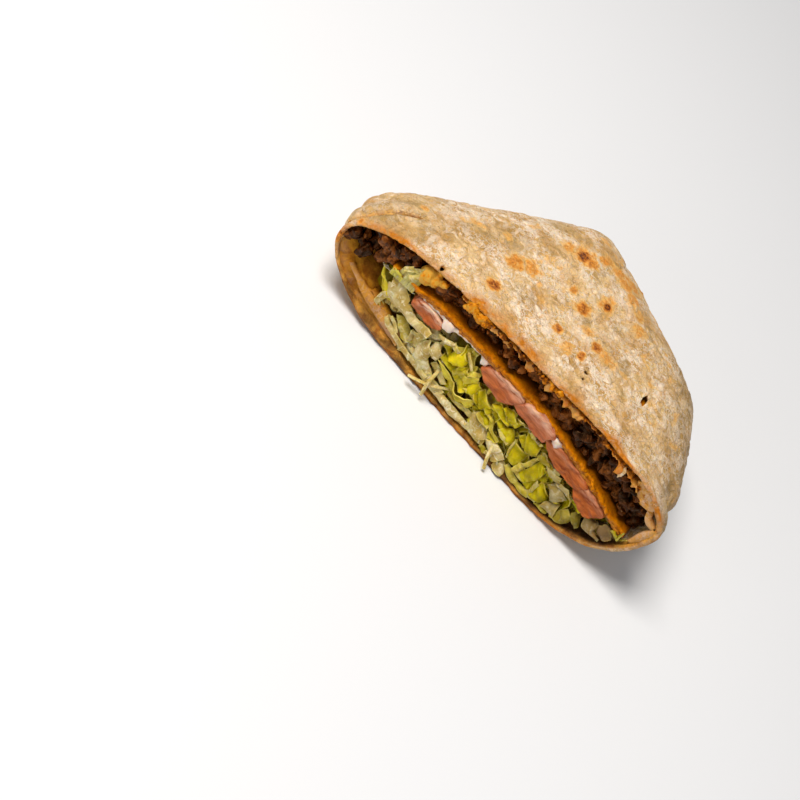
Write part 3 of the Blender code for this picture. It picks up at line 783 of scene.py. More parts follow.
@dataclass
class Tortilla:
    """The folded tortilla: skin, cut edge and lining in one closed shell."""

    form: WrapForm
    rows: int = 420                # round the plan, from the right end to the left
    top_steps: int = 88            # from the middle of the top outwards
    top_round: int = 16            # round its shoulder down to the rim
    bottom_steps: int = 38
    bottom_round: int = 28
    edge_steps: int = 4            # across the thickness of the cut edge
    inner_step: int = 2            # the lining is coarser by this, and by inner_row
    inner_row: int = 3
    shoulder: float = 0.92
    thin: float = 0.8              # how much thinner the sheet is than the solid's wall
    # Marks on top: kind, x, y, half width, half depth, strength.
    marks: tuple[tuple[Mark, float, float, float, float, float], ...] = (
        (Mark.SPOT, -30.7, 13.2, 2.7, 3.4, 0.86),
        (Mark.PATCH, -31.4, 32.4, 4.6, 5.6, 0.52), (Mark.PATCH, -25.6, 36.6, 4.8, 5.0, 0.46),
        (Mark.PATCH, -21.9, 63.9, 3.6, 4.5, 0.45), (Mark.SPOT, -15.7, 65.9, 2.6, 4.2, 0.95),
        (Mark.PATCH, -15.0, 66.5, 6.5, 6.5, 0.45), (Mark.PATCH, -10.6, 66.2, 3.4, 3.8, 0.55),
        (Mark.PATCH, -8.8, 73.5, 3.0, 3.2, 0.5),
        (Mark.PATCH, -7.1, 76.7, 4.0, 3.6, 0.42), (Mark.PATCH, -1.5, 77.0, 4.6, 4.2, 0.46),
        (Mark.PATCH, 4.0, 74.5, 4.6, 5.0, 0.48), (Mark.PATCH, 9.8, 70.5, 3.6, 6.0, 0.46),
        (Mark.PATCH, 6.0, 80.0, 6.0, 4.0, 0.46), (Mark.PATCH, 16.4, 65.9, 2.6, 5.0, 0.4),
        (Mark.SPOT, -9.0, 45.3, 1.9, 3.0, 0.6), (Mark.SPOT, -1.5, 41.1, 3.4, 4.0, 0.7),
        (Mark.PATCH, 4.3, 54.0, 4.4, 6.5, 0.42), (Mark.SPOT, 4.6, 53.0, 1.6, 2.4, 1.0),
        (Mark.SPOT, -2.7, 21.9, 2.0, 2.4, 0.78), (Mark.SPOT, 12.1, 30.2, 2.2, 3.0, 0.78),
        (Mark.SPOT, 10.2, 19.6, 1.9, 2.4, 0.8), (Mark.PATCH, 4.3, 17.4, 4.0, 4.0, 0.4),
        (Mark.PATCH, 18.4, 29.7, 4.5, 4.5, 0.4), (Mark.PATCH, 19.5, 58.8, 4.0, 5.0, 0.4),
        (Mark.PATCH, 5.8, 33.5, 3.5, 3.5, 0.4), (Mark.PATCH, -24.0, 48.0, 3.2, 4.0, 0.28),
        (Mark.PATCH, -69.1, 22.1, 2.2, 2.6, 0.45),
        (Mark.WAXY, -6.2, 63.4, 3.0, 5.0, 0.8), (Mark.WAXY, 2.7, 37.7, 2.6, 2.8, 0.8),
        (Mark.WAXY, 14.4, 48.1, 3.4, 3.6, 0.8), (Mark.WAXY, 24.8, 34.4, 3.2, 5.4, 0.9),
        (Mark.WAXY, -49.5, 31.5, 9.0, 7.0, 0.55), (Mark.WAXY, -38.4, 43.7, 8.0, 7.0, 0.55),
        (Mark.WAXY, -20.0, 21.0, 6.5, 5.0, 0.55), (Mark.WAXY, -30.0, 75.0, 7.0, 5.0, 0.7),
        # Next: two broad WAXY marks that darken the left end, painted shade.
        (Mark.WAXY, -74.0, 9.0, 16.0, 12.0, 0.75), (Mark.WAXY, -62.0, 26.0, 12.0, 12.0, 0.4),
    )
    # Holes worn through the upper sheet: x, y, half width, half depth.
    holes: tuple[tuple[float, float, float, float], ...] = (
        (-47.3, 1.6, 0.9, 1.7), (15.8, 15.4, 0.9, 1.0), (16.6, 11.9, 0.6, 0.8), (38.7, 31.5, 1.2, 3.2))

    def build(self, material: bpy.types.Material) -> bpy.types.Object:
        """Build the shell, pierce it and dress it."""
        piece = self.shell()
        self.pierce(piece)
        self.paint(piece)
        fit_out(piece, material, "tortilla", "tortilla")
        return piece

    def lining(self) -> WrapForm:
        """The form with the sheet's own thickness as its walls."""
        sides = tuple((direction, distance, wall - self.thin) for direction, distance, wall in self.form.sides)
        return replace(self.form, sides=sides, top_wall=self.form.top_wall - self.thin,
                       bottom_wall=self.form.bottom_wall - self.thin)

    def ring(self, angles: np.ndarray, inner: bool) -> np.ndarray:
        """Places of one side of the shell before any unevenness.

        Args:
            angles: directions in degrees, one for each row.
            inner: whether the lining is wanted and not the skin.

        Returns:
            Array of rows by ring places by x, y, z.
        """
        form = self.lining() if inner else self.form
        turn = np.radians(angles)
        c, s = np.cos(turn)[:, None], np.maximum(0.0, np.sin(turn))[:, None]
        s[(angles <= 0.0) | (angles >= 180.0)] = 0.0
        parts = []
        for upper in (True, False):
            power = form.fullness(c, s, upper)
            steps, turns = (self.top_steps, self.top_round) if upper else (self.bottom_steps, self.bottom_round)
            share = np.linspace(0.0, self.shoulder, steps)[None, :]
            flat = np.arcsin(share ** (0.5 * power))
            start = np.arcsin(self.shoulder ** (0.5 * power))
            bend = start + (0.5 * math.pi - start) * np.linspace(0.0, 1.0, turns + 1)[None, 1:]
            phi = np.concatenate((flat, bend), axis=1)
            share = np.sin(phi) ** (2.0 / power)
            reach = share / form.gauge(c, s, 0.0, inner)
            x, y = reach * c, reach * s
            rim = form.rim(x, y)
            if upper:
                z = rim + (form.crown(x, y) - (form.top_wall if inner else 0.0) - rim) * np.cos(phi)
            else:
                floor = form.bottom_wall if inner else 0.0
                z = np.maximum(floor, rim - (rim + form.rest_depth - floor) * np.cos(phi))
                if inner:
                    z = z + form.stack_relief(x, y) * (1.0 - share ** 6)
                else:
                    z = z + form.flap_relief(angles[:, None], share)
            points = np.stack((x, y, z), -1)
            parts.append(points if upper else points[:, -2::-1])
        return np.concatenate(parts, axis=1)

    def shell(self) -> bpy.types.Object:
        """The closed shell with its unevenness."""
        angles = np.linspace(0.0, 180.0, self.rows + 1)
        skin = self.ring(angles, False)
        lining = self.ring(angles, True)
        skin, lining = self.uneven(skin, lining)
        lining = lining[::self.inner_row, ::self.inner_step]
        points: list[np.ndarray] = []
        faces: list[tuple[int, ...]] = []
        skin_ids = self.grid(skin, points, faces)
        lining_ids = self.grid(lining, points, faces)
        edge = [np.concatenate((skin[-1], skin[0, -2:0:-1])), np.concatenate((lining[-1], lining[0, -2:0:-1]))]
        outer_ids = np.concatenate((skin_ids[-1], skin_ids[0, -2:0:-1]))
        inner_ids = np.concatenate((lining_ids[-1], lining_ids[0, -2:0:-1]))
        count = len(outer_ids)
        position = np.arange(count) / self.inner_step
        low = np.floor(position).astype(int) % len(inner_ids)
        part = (position - np.floor(position))[:, None]
        facing = edge[1][low] * (1.0 - part) + edge[1][(low + 1) % len(inner_ids)] * part
        grain = Grain(3)
        previous = outer_ids
        for step in range(1, self.edge_steps):
            share = step / self.edge_steps
            row = edge[0] * (1.0 - share) + facing * share
            bulge = 0.5 * math.sin(math.pi * share)
            row = row + np.stack((np.zeros(count), 1.0 * grain.rough(row, 1.8, 2) - bulge, 0.0 * row[:, 2]), -1)
            ids = self.append(points, row)
            self.bridge(previous, ids, faces)
            previous = ids
        self.zip_down(previous, inner_ids, faces)
        piece = make_mesh("tortilla_shell", np.concatenate(points), faces)
        face_outwards(piece)
        return piece

    @staticmethod
    def append(points: list[np.ndarray], block: np.ndarray) -> np.ndarray:
        """Add places to the list and return their indices."""
        start = sum(len(p) for p in points)
        points.append(block)
        return np.arange(start, start + len(block))

    def grid(self, places: np.ndarray, points: list[np.ndarray], faces: list[tuple[int, ...]]) -> np.ndarray:
        """Add a bag of rows whose first and last places are shared poles.

        Args:
            places: rows by ring places by x, y, z.
            points: list of place blocks, added to.
            faces: list of faces, added to.

        Returns:
            Index of every place, rows by ring places.
        """
        rows, count, _ = places.shape
        poles = self.append(points, places[0, [0, -1]])
        middle = self.append(points, places[:, 1:-1].reshape(-1, 3)).reshape(rows, count - 2)
        ids = np.empty((rows, count), int)
        ids[:, 0], ids[:, -1], ids[:, 1:-1] = poles[0], poles[1], middle
        for here, there in zip(ids[:-1], ids[1:]):
            for k in range(count - 1):
                corners = (here[k], here[k + 1], there[k + 1], there[k])
                faces.append(tuple(dict.fromkeys(corners)))
        return ids

    @staticmethod
    def bridge(here: np.ndarray, there: np.ndarray, faces: list[tuple[int, ...]]) -> None:
        """Join two closed loops of as many places."""
        for k in range(len(here)):
            n = (k + 1) % len(here)
            faces.append((here[k], here[n], there[n], there[k]))

    def zip_down(self, fine: np.ndarray, coarse: np.ndarray, faces: list[tuple[int, ...]]) -> None:
        """Join a closed loop to one with fewer places."""
        ratio = self.inner_step
        for k in range(len(fine)):
            n = (k + 1) % len(fine)
            here, there = (k // ratio) % len(coarse), ((k + 1) // ratio) % len(coarse)
            if n == 0:
                there = 0
            corners = (fine[k], fine[n], coarse[there], coarse[here])
            faces.append(tuple(dict.fromkeys(corners)))

    @staticmethod
    def normals(places: np.ndarray) -> np.ndarray:
        """Outward unit normals of a grid of rows by ring places."""
        along = np.gradient(places, axis=1)
        across = np.gradient(places, axis=0)
        facing = np.cross(along, across)
        size = np.linalg.norm(facing, axis=2, keepdims=True)
        facing = facing / np.maximum(size, 1e-9)
        middle = np.array((0.0, 30.0, 27.0))
        outwards = np.sign(np.sum(facing * (places - middle), axis=2, keepdims=True))
        facing = facing * np.where(outwards == 0.0, 1.0, outwards)
        facing[:, 0] = (0.0, 0.0, 1.0)
        facing[:, -1] = (0.0, 0.0, -1.0)
        return facing

    def uneven(self, skin: np.ndarray, lining: np.ndarray) -> tuple[np.ndarray, np.ndarray]:
        """Puff, wrinkle and crease both sides of the sheet alike.

        Args:
            skin: outside, rows by ring places by x, y, z.
            lining: inside, laid out as the skin is.

        Returns:
            Both, moved.
        """
        shape = skin.shape[:2]
        places = skin.reshape(-1, 3)
        broad, fine = Grain(21), Grain(22)
        x, y, z = places.T
        rim = self.form.rim(x, y)
        above = smooth(-6.0, 4.0, z - rim)
        resting = 1.0 - smooth(1.0, 9.0, z)
        gather = (1.0 - above) * (1.0 - resting)
        puff = 0.9 * broad(places, 17.0) + 0.5 * broad(places + 50.0, 8.0)
        turn = np.degrees(np.arctan2(y, x))
        pleat = np.stack((turn / 3.2, z / 30.0, 0.0 * z), -1)
        pleats = broad(pleat, 1.0) * (0.7 * gather + 0.25 * above * smooth(0.8, 1.0, self.form.gauge(x, y)))
        wrinkle = -0.55 * (1.0 - smooth(0.0, 0.16, np.abs(fine(places * (1.0, 1.0, 0.4), 7.0))))
        crinkle = 0.22 * fine.rough(places, 2.6, 2)
        move = puff * (0.75 * above + 0.6 * gather) + pleats * 2.0
        soft = move - self.creases(x, y, z)
        crisp = (wrinkle * 0.5 + crinkle + self.blisters(x, y)) * (above + 0.8 * gather)
        fade = smooth(0.0, 3.0, y) * 0.6 + 0.4
        facing = self.normals(skin).reshape(-1, 3)
        ragged = 0.8 * broad.rough(places, 6.0, 2) * np.exp(-y / 4.0)
        shift = np.stack((0.0 * x, ragged, 0.0 * z), -1)
        moved = places + facing * ((soft + crisp * fade) * (1.0 - resting))[:, None] + shift
        moved[:, 2] = np.maximum(moved[:, 2], 0.0)
        inner = lining.reshape(-1, 3) + facing * (soft * (1.0 - resting))[:, None] + shift
        return moved.reshape(*shape, 3), inner.reshape(*shape, 3)

    def creases(self, x: np.ndarray, y: np.ndarray, z: np.ndarray) -> np.ndarray:
        """Depth of the folds pressed into the sheet at its two ends."""
        # Behind the front lip at the left the sheet folds over itself.
        line = self.fold_line(x)
        ends = 1.0 - smooth(-73.0, -62.0, x)
        left = (2.6 * np.exp(-((y - line) / 1.3) ** 2) - 0.8 * np.exp(-((y - line + 3.4) / 2.2) ** 2)
                - 1.5 * np.exp(-((y - line - 4.6) / 3.2) ** 2)) * ends
        # At the right the wall is pinched in just behind the cut, and stands full at the cut's corner.
        right = 2.6 * np.exp(-((y - 14.0) / 5.0) ** 2) * smooth(64.0, 72.0, x) * smooth(8.0, 24.0, z)
        corner = 2.2 * np.exp(-((x - 62.0) / 9.0) ** 2 - (y / 9.0) ** 2) * smooth(34.0, 42.0, z)
        return left + right - corner

    @staticmethod
    def fold_line(x: np.ndarray) -> np.ndarray:
        """Depth at which the left end folds over itself, for a place along the cut."""
        return np.interp(x, (-84.0, -80.7, -77.2, -73.1, -66.0), (3.4, 5.1, 8.7, 12.5, 17.0))

    def blisters(self, x: np.ndarray, y: np.ndarray) -> np.ndarray:
        """Small rings raised by steam bubbles."""
        chance = random.Random(8)
        height = np.zeros_like(x)
        for _ in range(150):
            middle_x, middle_y = chance.uniform(-78.0, 76.0), chance.uniform(1.0, 92.0)
            radius = chance.uniform(0.9, 2.3)
            away = np.hypot(x - middle_x, y - middle_y)
            near = away < 2.2 * radius
            ring = np.exp(-((away[near] - radius) / (0.38 * radius)) ** 2)
            height[near] += chance.uniform(0.15, 0.34) * ring
        return height

    def pierce(self, piece: bpy.types.Object) -> None:
        """Cut the worn holes through the upper sheet."""
        grain = Grain(5)
        for number, (x, y, half_x, half_y) in enumerate(self.holes):
            sides, points = 18, []
            crown = float(self.form.top(np.array(x), np.array(y)))
            for z in (crown - 7.0, crown + 4.0):
                for k in range(sides):
                    turn = math.tau * k / sides
                    spot = np.array([[x + half_x * math.cos(turn), y + half_y * math.sin(turn), 5.0 * number]])
                    ragged = 1.0 + 0.5 * float(grain(spot, 0.9)[0])
                    points.append((x + half_x * ragged * math.cos(turn), y + half_y * ragged * math.sin(turn), z))
            faces = [tuple(range(sides)), tuple(range(sides, 2 * sides))]
            faces += [(k, (k + 1) % sides, sides + (k + 1) % sides, sides + k) for k in range(sides)]
            punch = make_mesh(f"punch_{number}", np.array(points), faces)
            face_outwards(punch)
            cut = piece.modifiers.new("hole", "BOOLEAN")
            cut.operation, cut.solver, cut.object = "DIFFERENCE", "MANIFOLD", punch
        baked(piece)
        for number in range(len(self.holes)):
            bpy.data.objects.remove(bpy.data.objects[f"punch_{number}"])

    def paint(self, piece: bpy.types.Object) -> None:
        """Store where the sheet is toasted, damp, stained, inside or dark; the tan at both ends is painted shade, and
        the dark is painted shade with the lower rim browned by meat juices.
        """
        mesh = piece.data
        flat = np.empty(len(mesh.vertices) * 3)
        mesh.vertices.foreach_get("co", flat)
        places = flat.reshape(-1, 3) / MM + ORIGIN
        x, y, z = places.T
        grain = Grain(31)
        upper = smooth(-4.0, 3.0, z - self.form.rim(x, y))
        ragged = 0.55 * grain.rough(places, 3.2, 3)
        toast, moist_and_shade = np.zeros_like(x), np.zeros_like(x)
        for kind, at_x, at_y, half_x, half_y, strength in self.marks:
            away = np.hypot((x - at_x) / half_x, (y - at_y) / half_y) + ragged
            if kind is Mark.SPOT:
                toast = np.maximum(toast, strength * (1.0 - smooth(0.3, 1.7, away)))
            elif kind is Mark.PATCH:
                toast = np.maximum(toast, strength * (1.0 - smooth(0.45, 1.35, away)))
            else:
                moist_and_shade = np.maximum(moist_and_shade, strength * (1.0 - smooth(0.7, 1.3, away)))
        toast *= upper
        under = 1.0 - smooth(1.0, 7.0, z)
        griddled = smooth(-0.05, 0.35, grain.rough(places + 40.0, 21.0, 3)) * 0.5
        spots = smooth(0.28, 0.55, grain.rough(places + 90.0, 7.0, 2)) * 0.85
        toast = np.maximum(toast, under * np.maximum(griddled, spots) * (y > 0.5))
        wild = smooth(0.24, 0.5, grain.rough(places + 15.0, 6.5, 2)) * 0.34
        # The shoulder at the back of the right side was pressed hardest on the griddle.
        back = smooth(0.86, 0.96, self.form.gauge(x, y)) * np.exp(-((x - 14.0) / 26.0) ** 4) * smooth(
            20.0, 40.0, y) * smooth(1.0, 10.0, z - self.form.rim(x, y))
        wild = np.maximum(wild, back * np.clip(0.55 + 0.9 * grain.rough(places + 25.0, 7.0, 2), 0.0, 0.8))
        toast = np.maximum(toast, wild * smooth(10.0, 30.0, y) * (1.0 - under))
        # Where the wall is pinched in, its skin lies as deep as the lining does elsewhere.
        pinched = smooth(61.0, 66.0, x) * smooth(3.5, 6.0, y) * (1.0 - smooth(23.0, 27.0, y))
        inside = self.depth_in_wall(x, y, z) * (1.0 - pinched)
        folded = np.exp(-((y - self.fold_line(x)) / 1.6) ** 2) * (1.0 - smooth(-73.0, -64.0, x)) * upper
        rim = np.exp(-(np.maximum(y, 0.0) / 2.4) ** 2) * (1.0 - smooth(8.0, 20.0, z)) * (1.0 - 0.6 * smooth(30.0, 56.0, x))
        lip = np.exp(-(np.maximum(y, 0.0) / 2.6) ** 2) * (1.0 - smooth(-80.0, -74.0, x)) * smooth(14.0, 24.0, z)
        toast = np.maximum(toast, np.maximum(np.maximum(0.45 * folded, lip * (
            0.3 + 1.6 * grain(places * (1.0, 1.0, 0.5) + 61.0, 2.6))), rim * (0.9 + 0.9 * grain(places + 33.0, 4.0))))
        reach = np.maximum(0.5, 1.5 + 1.4 * np.exp(-((x + 10.0) / 24.0) ** 4) + 6.0 * grain(places * (1.0, 0.3, 1.0), 9.0) * smooth(-52.0, -36.0, x))
        edge = np.exp(-(np.maximum(y, 0.0) / reach) ** 1.5)
        stain = np.clip(edge * (0.8 + 1.4 * grain(places + 70.0, 12.0)), 0.0, 1.0) * (
            1.0 - 0.7 * smooth(54.0, 64.0, x) * (1.0 - upper))
        melted = np.exp(-(np.maximum(y, 0.0) / 4.2) ** 2) * np.exp(-((x + 15.0) / 19.0) ** 4) * upper
        stain = np.minimum(np.maximum(stain, melted * (1.0 + 1.2 * grain(places + 44.0, 5.0))), 1.0)
        low_left = (1.0 - smooth(-74.0, -60.0, x)) * (1.0 - upper)
        stain = np.maximum(stain * (1.0 - 0.6 * low_left), 0.5 * rim)
        # Painted shade: the lining darkens further into the wrap and, at the right, low down beside the cut; along the
        # cut's lower rim the dark is a real browning by meat juices.
        lower_right_shade = smooth(14.0, 34.0, x) * (1.0 - smooth(14.0, 28.0, z)) * smooth(-0.8, 0.4, y) * inside
        juicy = (0.74 + 0.12 * smooth(0.0, 30.0, x)) * rim * np.clip(0.6 + 1.8 * grain(places + 12.0, 5.0), 0.0, 1.0)
        shade = np.clip(np.maximum(0.95 * lower_right_shade + 0.5 * inside * smooth(7.0, 16.0, y), juicy), 0.0, 1.0)
        # Painted shade: the right end is darkened towards the waxy tan.
        moist_and_shade = np.maximum(moist_and_shade * upper, 0.8 * smooth(62.0, 77.0, x + 0.5 * np.maximum(y, 0.0)))
        values = {"toast": toast * (1.0 - inside), "moist_and_shade": moist_and_shade * (1.0 - inside),
                  "stain": stain, "inside": inside, "dark": shade}
        for key, numbers in values.items():
            mesh.attributes.new(key, "FLOAT", "POINT").data.foreach_set("value", numbers.astype(np.float32))

    def depth_in_wall(self, x: np.ndarray, y: np.ndarray, z: np.ndarray) -> np.ndarray:
        """0 on the skin and 1 on the lining."""
        lining = self.lining()
        gauge, inner = self.form.gauge(x, y), lining.gauge(x, y, 0.0, True)
        rim = self.form.rim(x, y)
        skin_top, lining_top = self.form.top(x, y), lining.top(x, y, 0.0, True, lining.top_wall)
        from_top = (skin_top - z) / np.maximum(skin_top - lining_top, 0.5)
        skin_low = self.form.bottom(x, y)
        lining_low = lining.bottom(x, y, 0.0, True, lining.bottom_wall)
        from_low = (z - skin_low) / np.maximum(lining_low - skin_low, 0.5)
        from_side = (1.0 - gauge) / np.maximum(inner - gauge, 1e-4)
        depth = np.where(z > rim, from_top, from_low)
        depth = np.minimum(depth, np.where(gauge > 0.94, np.maximum(from_side, depth * 0.0), depth))
        return smooth(0.45, 0.85, depth)


# ---- the flat layers -----------------------------------------------------------------
def along(curve: Sequence[tuple[float, float]], x: np.ndarray) -> np.ndarray:
    """Height of a curve drawn on the cut."""
    return np.interp(x, [p[0] for p in curve], [p[1] for p in curve])


def bump(x: np.ndarray, blobs: Sequence[tuple[float, float, float]]) -> np.ndarray:
    """Sum of blunt blobs, each a middle, a half width and a height."""
    return sum(height * np.exp(-((x - middle) / width) ** 4) for middle, width, height in blobs)


@dataclass
class Filling:
    """Where each filling begins and ends, as drawn on the cut."""

    form: WrapForm
    gap: float = 0.3
    nacho_line: tuple[tuple[float, float], ...] = (
        (-64.0, 32.4), (-50.0, 34.0), (-38.0, 35.8), (-20.0, 37.0), (0.0, 37.6), (15.0, 37.6),
        (30.0, 36.0), (42.0, 33.6), (54.0, 30.4), (64.0, 27.5), (70.0, 25.8))
    nacho_thick: float = 1.6
    tostada_thick: float = 1.9
    cream_thick: float = 0.8
    cream_blobs: tuple[tuple[float, float, float], ...] = ((-30.5, 2.6, 4.2), (-12.0, 1.7, 4.6), (27.5, 1.8, 3.0))
    cream_reach: float = 9.0
    # Each tomato piece: left end, right end, thickness at either end.
    tomatoes: tuple[tuple[float, float, float, float], ...] = (
        (-46.5, -34.0, 5.6, 5.2), (-9.4, 5.2, 5.4, 8.6), (6.4, 24.6, 6.4, 6.8),
        (30.3, 44.6, 7.6, 8.4), (45.8, 59.6, 8.8, 5.4))
    tomato_depth: float = 24.0
    melt_thick: float = 0.9
    melt_drips: tuple[tuple[float, float, float], ...] = (
        (-27.0, 3.4, 2.6), (-20.0, 3.2, 2.2), (0.5, 1.6, 2.4), (10.5, 2.0, 3.4), (22.0, 5.0, 2.2), (49.5, 1.4, 4.0))
    beef_floor_left: float = 26.0

    def ceiling(self, x: np.ndarray, y: np.ndarray) -> np.ndarray:
        """Highest place of the inside, as drawn on the cut."""
        return self.form.inside_span(x, 0.0 * y)[1]

    def floor(self, x: np.ndarray, y: np.ndarray) -> np.ndarray:
        """Lowest place of the inside, as drawn on the cut."""
        return self.form.inside_span(x, 0.0 * y)[0]

    def melt_low(self, x: np.ndarray, y: np.ndarray) -> np.ndarray:
        """Underside of the cheese that melted onto the upper sheet."""
        return self.ceiling(x, y) - self.melt_thick - bump(x, self.melt_drips) * (1.0 - smooth(4.0, 14.0, y))

    def nacho_top(self, x: np.ndarray, y: np.ndarray) -> np.ndarray:
        """Top of the cheese sauce."""
        return along(self.nacho_line, x) + 0.0 * y

    def tostada_top(self, x: np.ndarray, y: np.ndarray) -> np.ndarray:
        """Top of the crisp round, under the sauce."""
        return self.nacho_top(x, y) - self.nacho_thick

    def tostada_low(self, x: np.ndarray, y: np.ndarray) -> np.ndarray:
        """Underside of the crisp round."""
        return self.tostada_top(x, y) - self.tostada_thick

    def cream_low(self, x: np.ndarray, y: np.ndarray) -> np.ndarray:
        """Underside of the sour cream, which sags between the tomato pieces."""
        sag = bump(x, self.cream_blobs) * (1.0 - smooth(self.cream_reach - 4.0, self.cream_reach + 1.0, y))
        return self.tostada_low(x, y) - self.cream_thick - sag

    def tomato_low(self, x: np.ndarray, y: np.ndarray) -> np.ndarray:
        """Underside of the tomato pieces, or of the cream between them."""
        deepest = np.zeros(np.broadcast(x, y).shape)
        for left, right, thick_left, thick_right in self.tomatoes:
            share = np.clip((x - left) / (right - left), 0.0, 1.0)
            thick = thick_left + share * (thick_right - thick_left) + self.gap
            under = smooth(left - 1.2, left - 0.2, x) * (1.0 - smooth(right + 0.2, right + 1.2, x))
            deepest = np.maximum(deepest, thick * under)
        return self.cream_low(x, y) - deepest * (1.0 - smooth(self.tomato_depth + 1.0, self.tomato_depth + 6.0, y))

    def beef_low(self, x: np.ndarray, y: np.ndarray) -> np.ndarray:
        """Underside of the beef, which hangs lower past the layers' left end."""
        past = smooth(-66.0, -64.6, x)
        return self.beef_floor_left + past * (self.nacho_top(x, y) + 2.0 * self.gap - self.beef_floor_left)


@dataclass
class Sheet:
    """A flat layer between two heights drawn on the cut, carried back into the wrap."""

    form: WrapForm
    left: float
    right: float
    low: Curve
    high: Curve
    front: Callable[[np.ndarray], np.ndarray]     # where its front edge stands
    step: float = 0.6
    lip: float = 1.0                              # how far back the front edge rounds off
    end: float = 1.5                              # how far in the ends round off
    lump: float = 0.3                             # unevenness, mm
    lump_size: float = 2.0
    offsets: tuple[float, ...] = (0.0, 0.1, 0.3, 0.6, 1.0, 1.6, 2.3, 3.2, 4.4, 6.0, 8.5,
                                  12.0, 18.0, 28.0, 42.0, 60.0, 80.0)

    def build(self, name: str, seed: int, values: dict[str, float] | None = None) -> bpy.types.Object:
        """Build the layer as a closed mesh.

        Args:
            name: the object's name.
            seed: picks its unevenness.
            values: further numbers that its mesh carries all over.

        Returns:
            The object, with the numbers "back" (mm behind its edge) and "upper".
        """
        count = int((self.right - self.left) / self.step) + 1
        x = np.linspace(self.left, self.right, count)[:, None]
        offset = np.array(self.offsets)[None, :]
        y = np.minimum(self.front(x) + offset, 86.0)
        x = np.broadcast_to(x, y.shape)
        near = np.minimum(np.minimum(x - self.left, self.right - x) / self.end, 1.0)
        half = np.sqrt(1.0 - (1.0 - np.minimum(offset / self.lip, 1.0)) ** 2) * np.sqrt(1.0 - (1.0 - near) ** 2)
        half = half * (offset < self.offsets[-1])
        low, high = self.low(x, y), self.high(x, y)
        middle = 0.5 * (low + high)
        top = self.form.carried(x, middle + (high - middle) * half, y)
        under = self.form.carried(x, middle + (low - middle) * half, y)
        grain = Grain(seed)
        fade = np.exp(-offset / 12.0)[..., None] * np.minimum(1.0, half + 0.35)[..., None]
        for side in (top, under):
            flat = side.reshape(-1, 3)
            move = np.stack([grain.rough(flat + k * 31.0, self.lump_size, 3) for k in range(3)], -1)
            move *= (0.6, 1.0, 0.8)
            side += (move * self.lump).reshape(side.shape) * fade
        under[0], under[-1], under[:, 0], under[:, -1] = top[0], top[-1], top[:, 0], top[:, -1]
        rows, places = y.shape
        ids = np.arange(rows * places).reshape(rows, places)
        below = ids.copy()
        below[1:-1, 1:-1] = rows * places + np.arange((rows - 2) * (places - 2)).reshape(rows - 2, places - 2)
        faces = []
        for grid, turned in ((ids, False), (below, True)):
            for i in range(rows - 1):
                for j in range(places - 1):
                    face = (grid[i, j], grid[i + 1, j], grid[i + 1, j + 1], grid[i, j + 1])
                    faces.append(face[::-1] if turned else face)
        points = np.concatenate((top.reshape(-1, 3), under[1:-1, 1:-1].reshape(-1, 3)))
        back = np.broadcast_to(offset, y.shape)
        upper = np.concatenate((np.ones(rows * places), np.zeros((rows - 2) * (places - 2))))
        carried = {"back": np.concatenate((back.reshape(-1), back[1:-1, 1:-1].reshape(-1))), "upper": upper}
        carried.update({key: np.full(len(points), number) for key, number in (values or {}).items()})
        piece = make_mesh(name, points, faces, carried)
        face_outwards(piece)
        return piece


@dataclass(frozen=True)
class SauceFinish(Finish):
    """Warm cheese sauce: smooth, oily, lit from within, browner and darker further back, where beef juices ran over it
    and where shade is painted under the beef.
    """

    name: str = "cheese sauce, warm"
    sheen: str = "#FFC46C"
    roughness: float = 0.3
    ior: float = 1.38
    gloss: float = 0.4
    glow: float = 0.3
    glow_depth: float = 1.0
    bright: str = "#D48404"
    deep: str = "#B86800"
    slope: str = "#8A4C06"
    juice_and_shade: str = "#3C1C02"
    crusty: str = "#7E4208"

    def build(self) -> bpy.types.Material:
        """Make the material."""
        material, tree, shader = self.start()
        lumps = self.pattern(tree, 3.6, 5.0, 0.6)
        base = self.blend(tree, self.ramp(tree, lumps, (0.4, 0.0), (0.62, 1.0)), self.deep, self.bright)
        back = self.maths(tree, "ADD", self.value(tree, "back"), self.maths(
            tree, "MULTIPLY_ADD", self.pattern(tree, 5.0, 3.0), 5.0, -2.5))
        inwards = self.maths(tree, "MULTIPLY", back, 0.1)
        # Further back the sauce turns brown and near black: partly browning by beef juices, partly painted shade under
        # the beef.
        base = self.blend(tree, self.ramp(tree, inwards, (0.02, 0.0), (0.32, 0.9)), base, self.slope)
        base = self.blend(tree, self.ramp(tree, inwards, (0.42, 0.0), (0.9, 0.95)), base, self.juice_and_shade)
        crust = self.pattern(tree, 1.3, 4.0, 0.65)
        base = self.blend(tree, self.maths(tree, "MULTIPLY", self.ramp(tree, crust, (0.5, 0.0), (0.6, 0.8)), self.ramp(
            tree, self.pattern(tree, 7.0, 2.0), (0.42, 0.1), (0.58, 1.0))), base, self.crusty)
        tree.links.new(base, shader.inputs["Base Color"])
        self.relief(tree, shader, (lumps, 0.5), (crust, 0.35))
        return material


@dataclass(frozen=True)
class FriedCornFinish(Finish):
    """Corn tostada, deep fried: a dry, blistered, porous edge of golden brown."""

    name: str = "corn tostada, fried"
    roughness: float = 0.5
    ior: float = 1.4
    glow: float = 0.15
    golden: str = "#C8800E"
    brown: str = "#9C5606"

    def build(self) -> bpy.types.Material:
        """Make the material."""
        material, tree, shader = self.start()
        crumbs = self.pattern(tree, 1.1, 4.0, 0.65)
        base = self.blend(tree, self.ramp(tree, crumbs, (0.42, 0.0), (0.6, 1.0)), self.brown, self.golden)
        tree.links.new(base, shader.inputs["Base Color"])
        self.relief(tree, shader, (crumbs, 0.5))
        return material


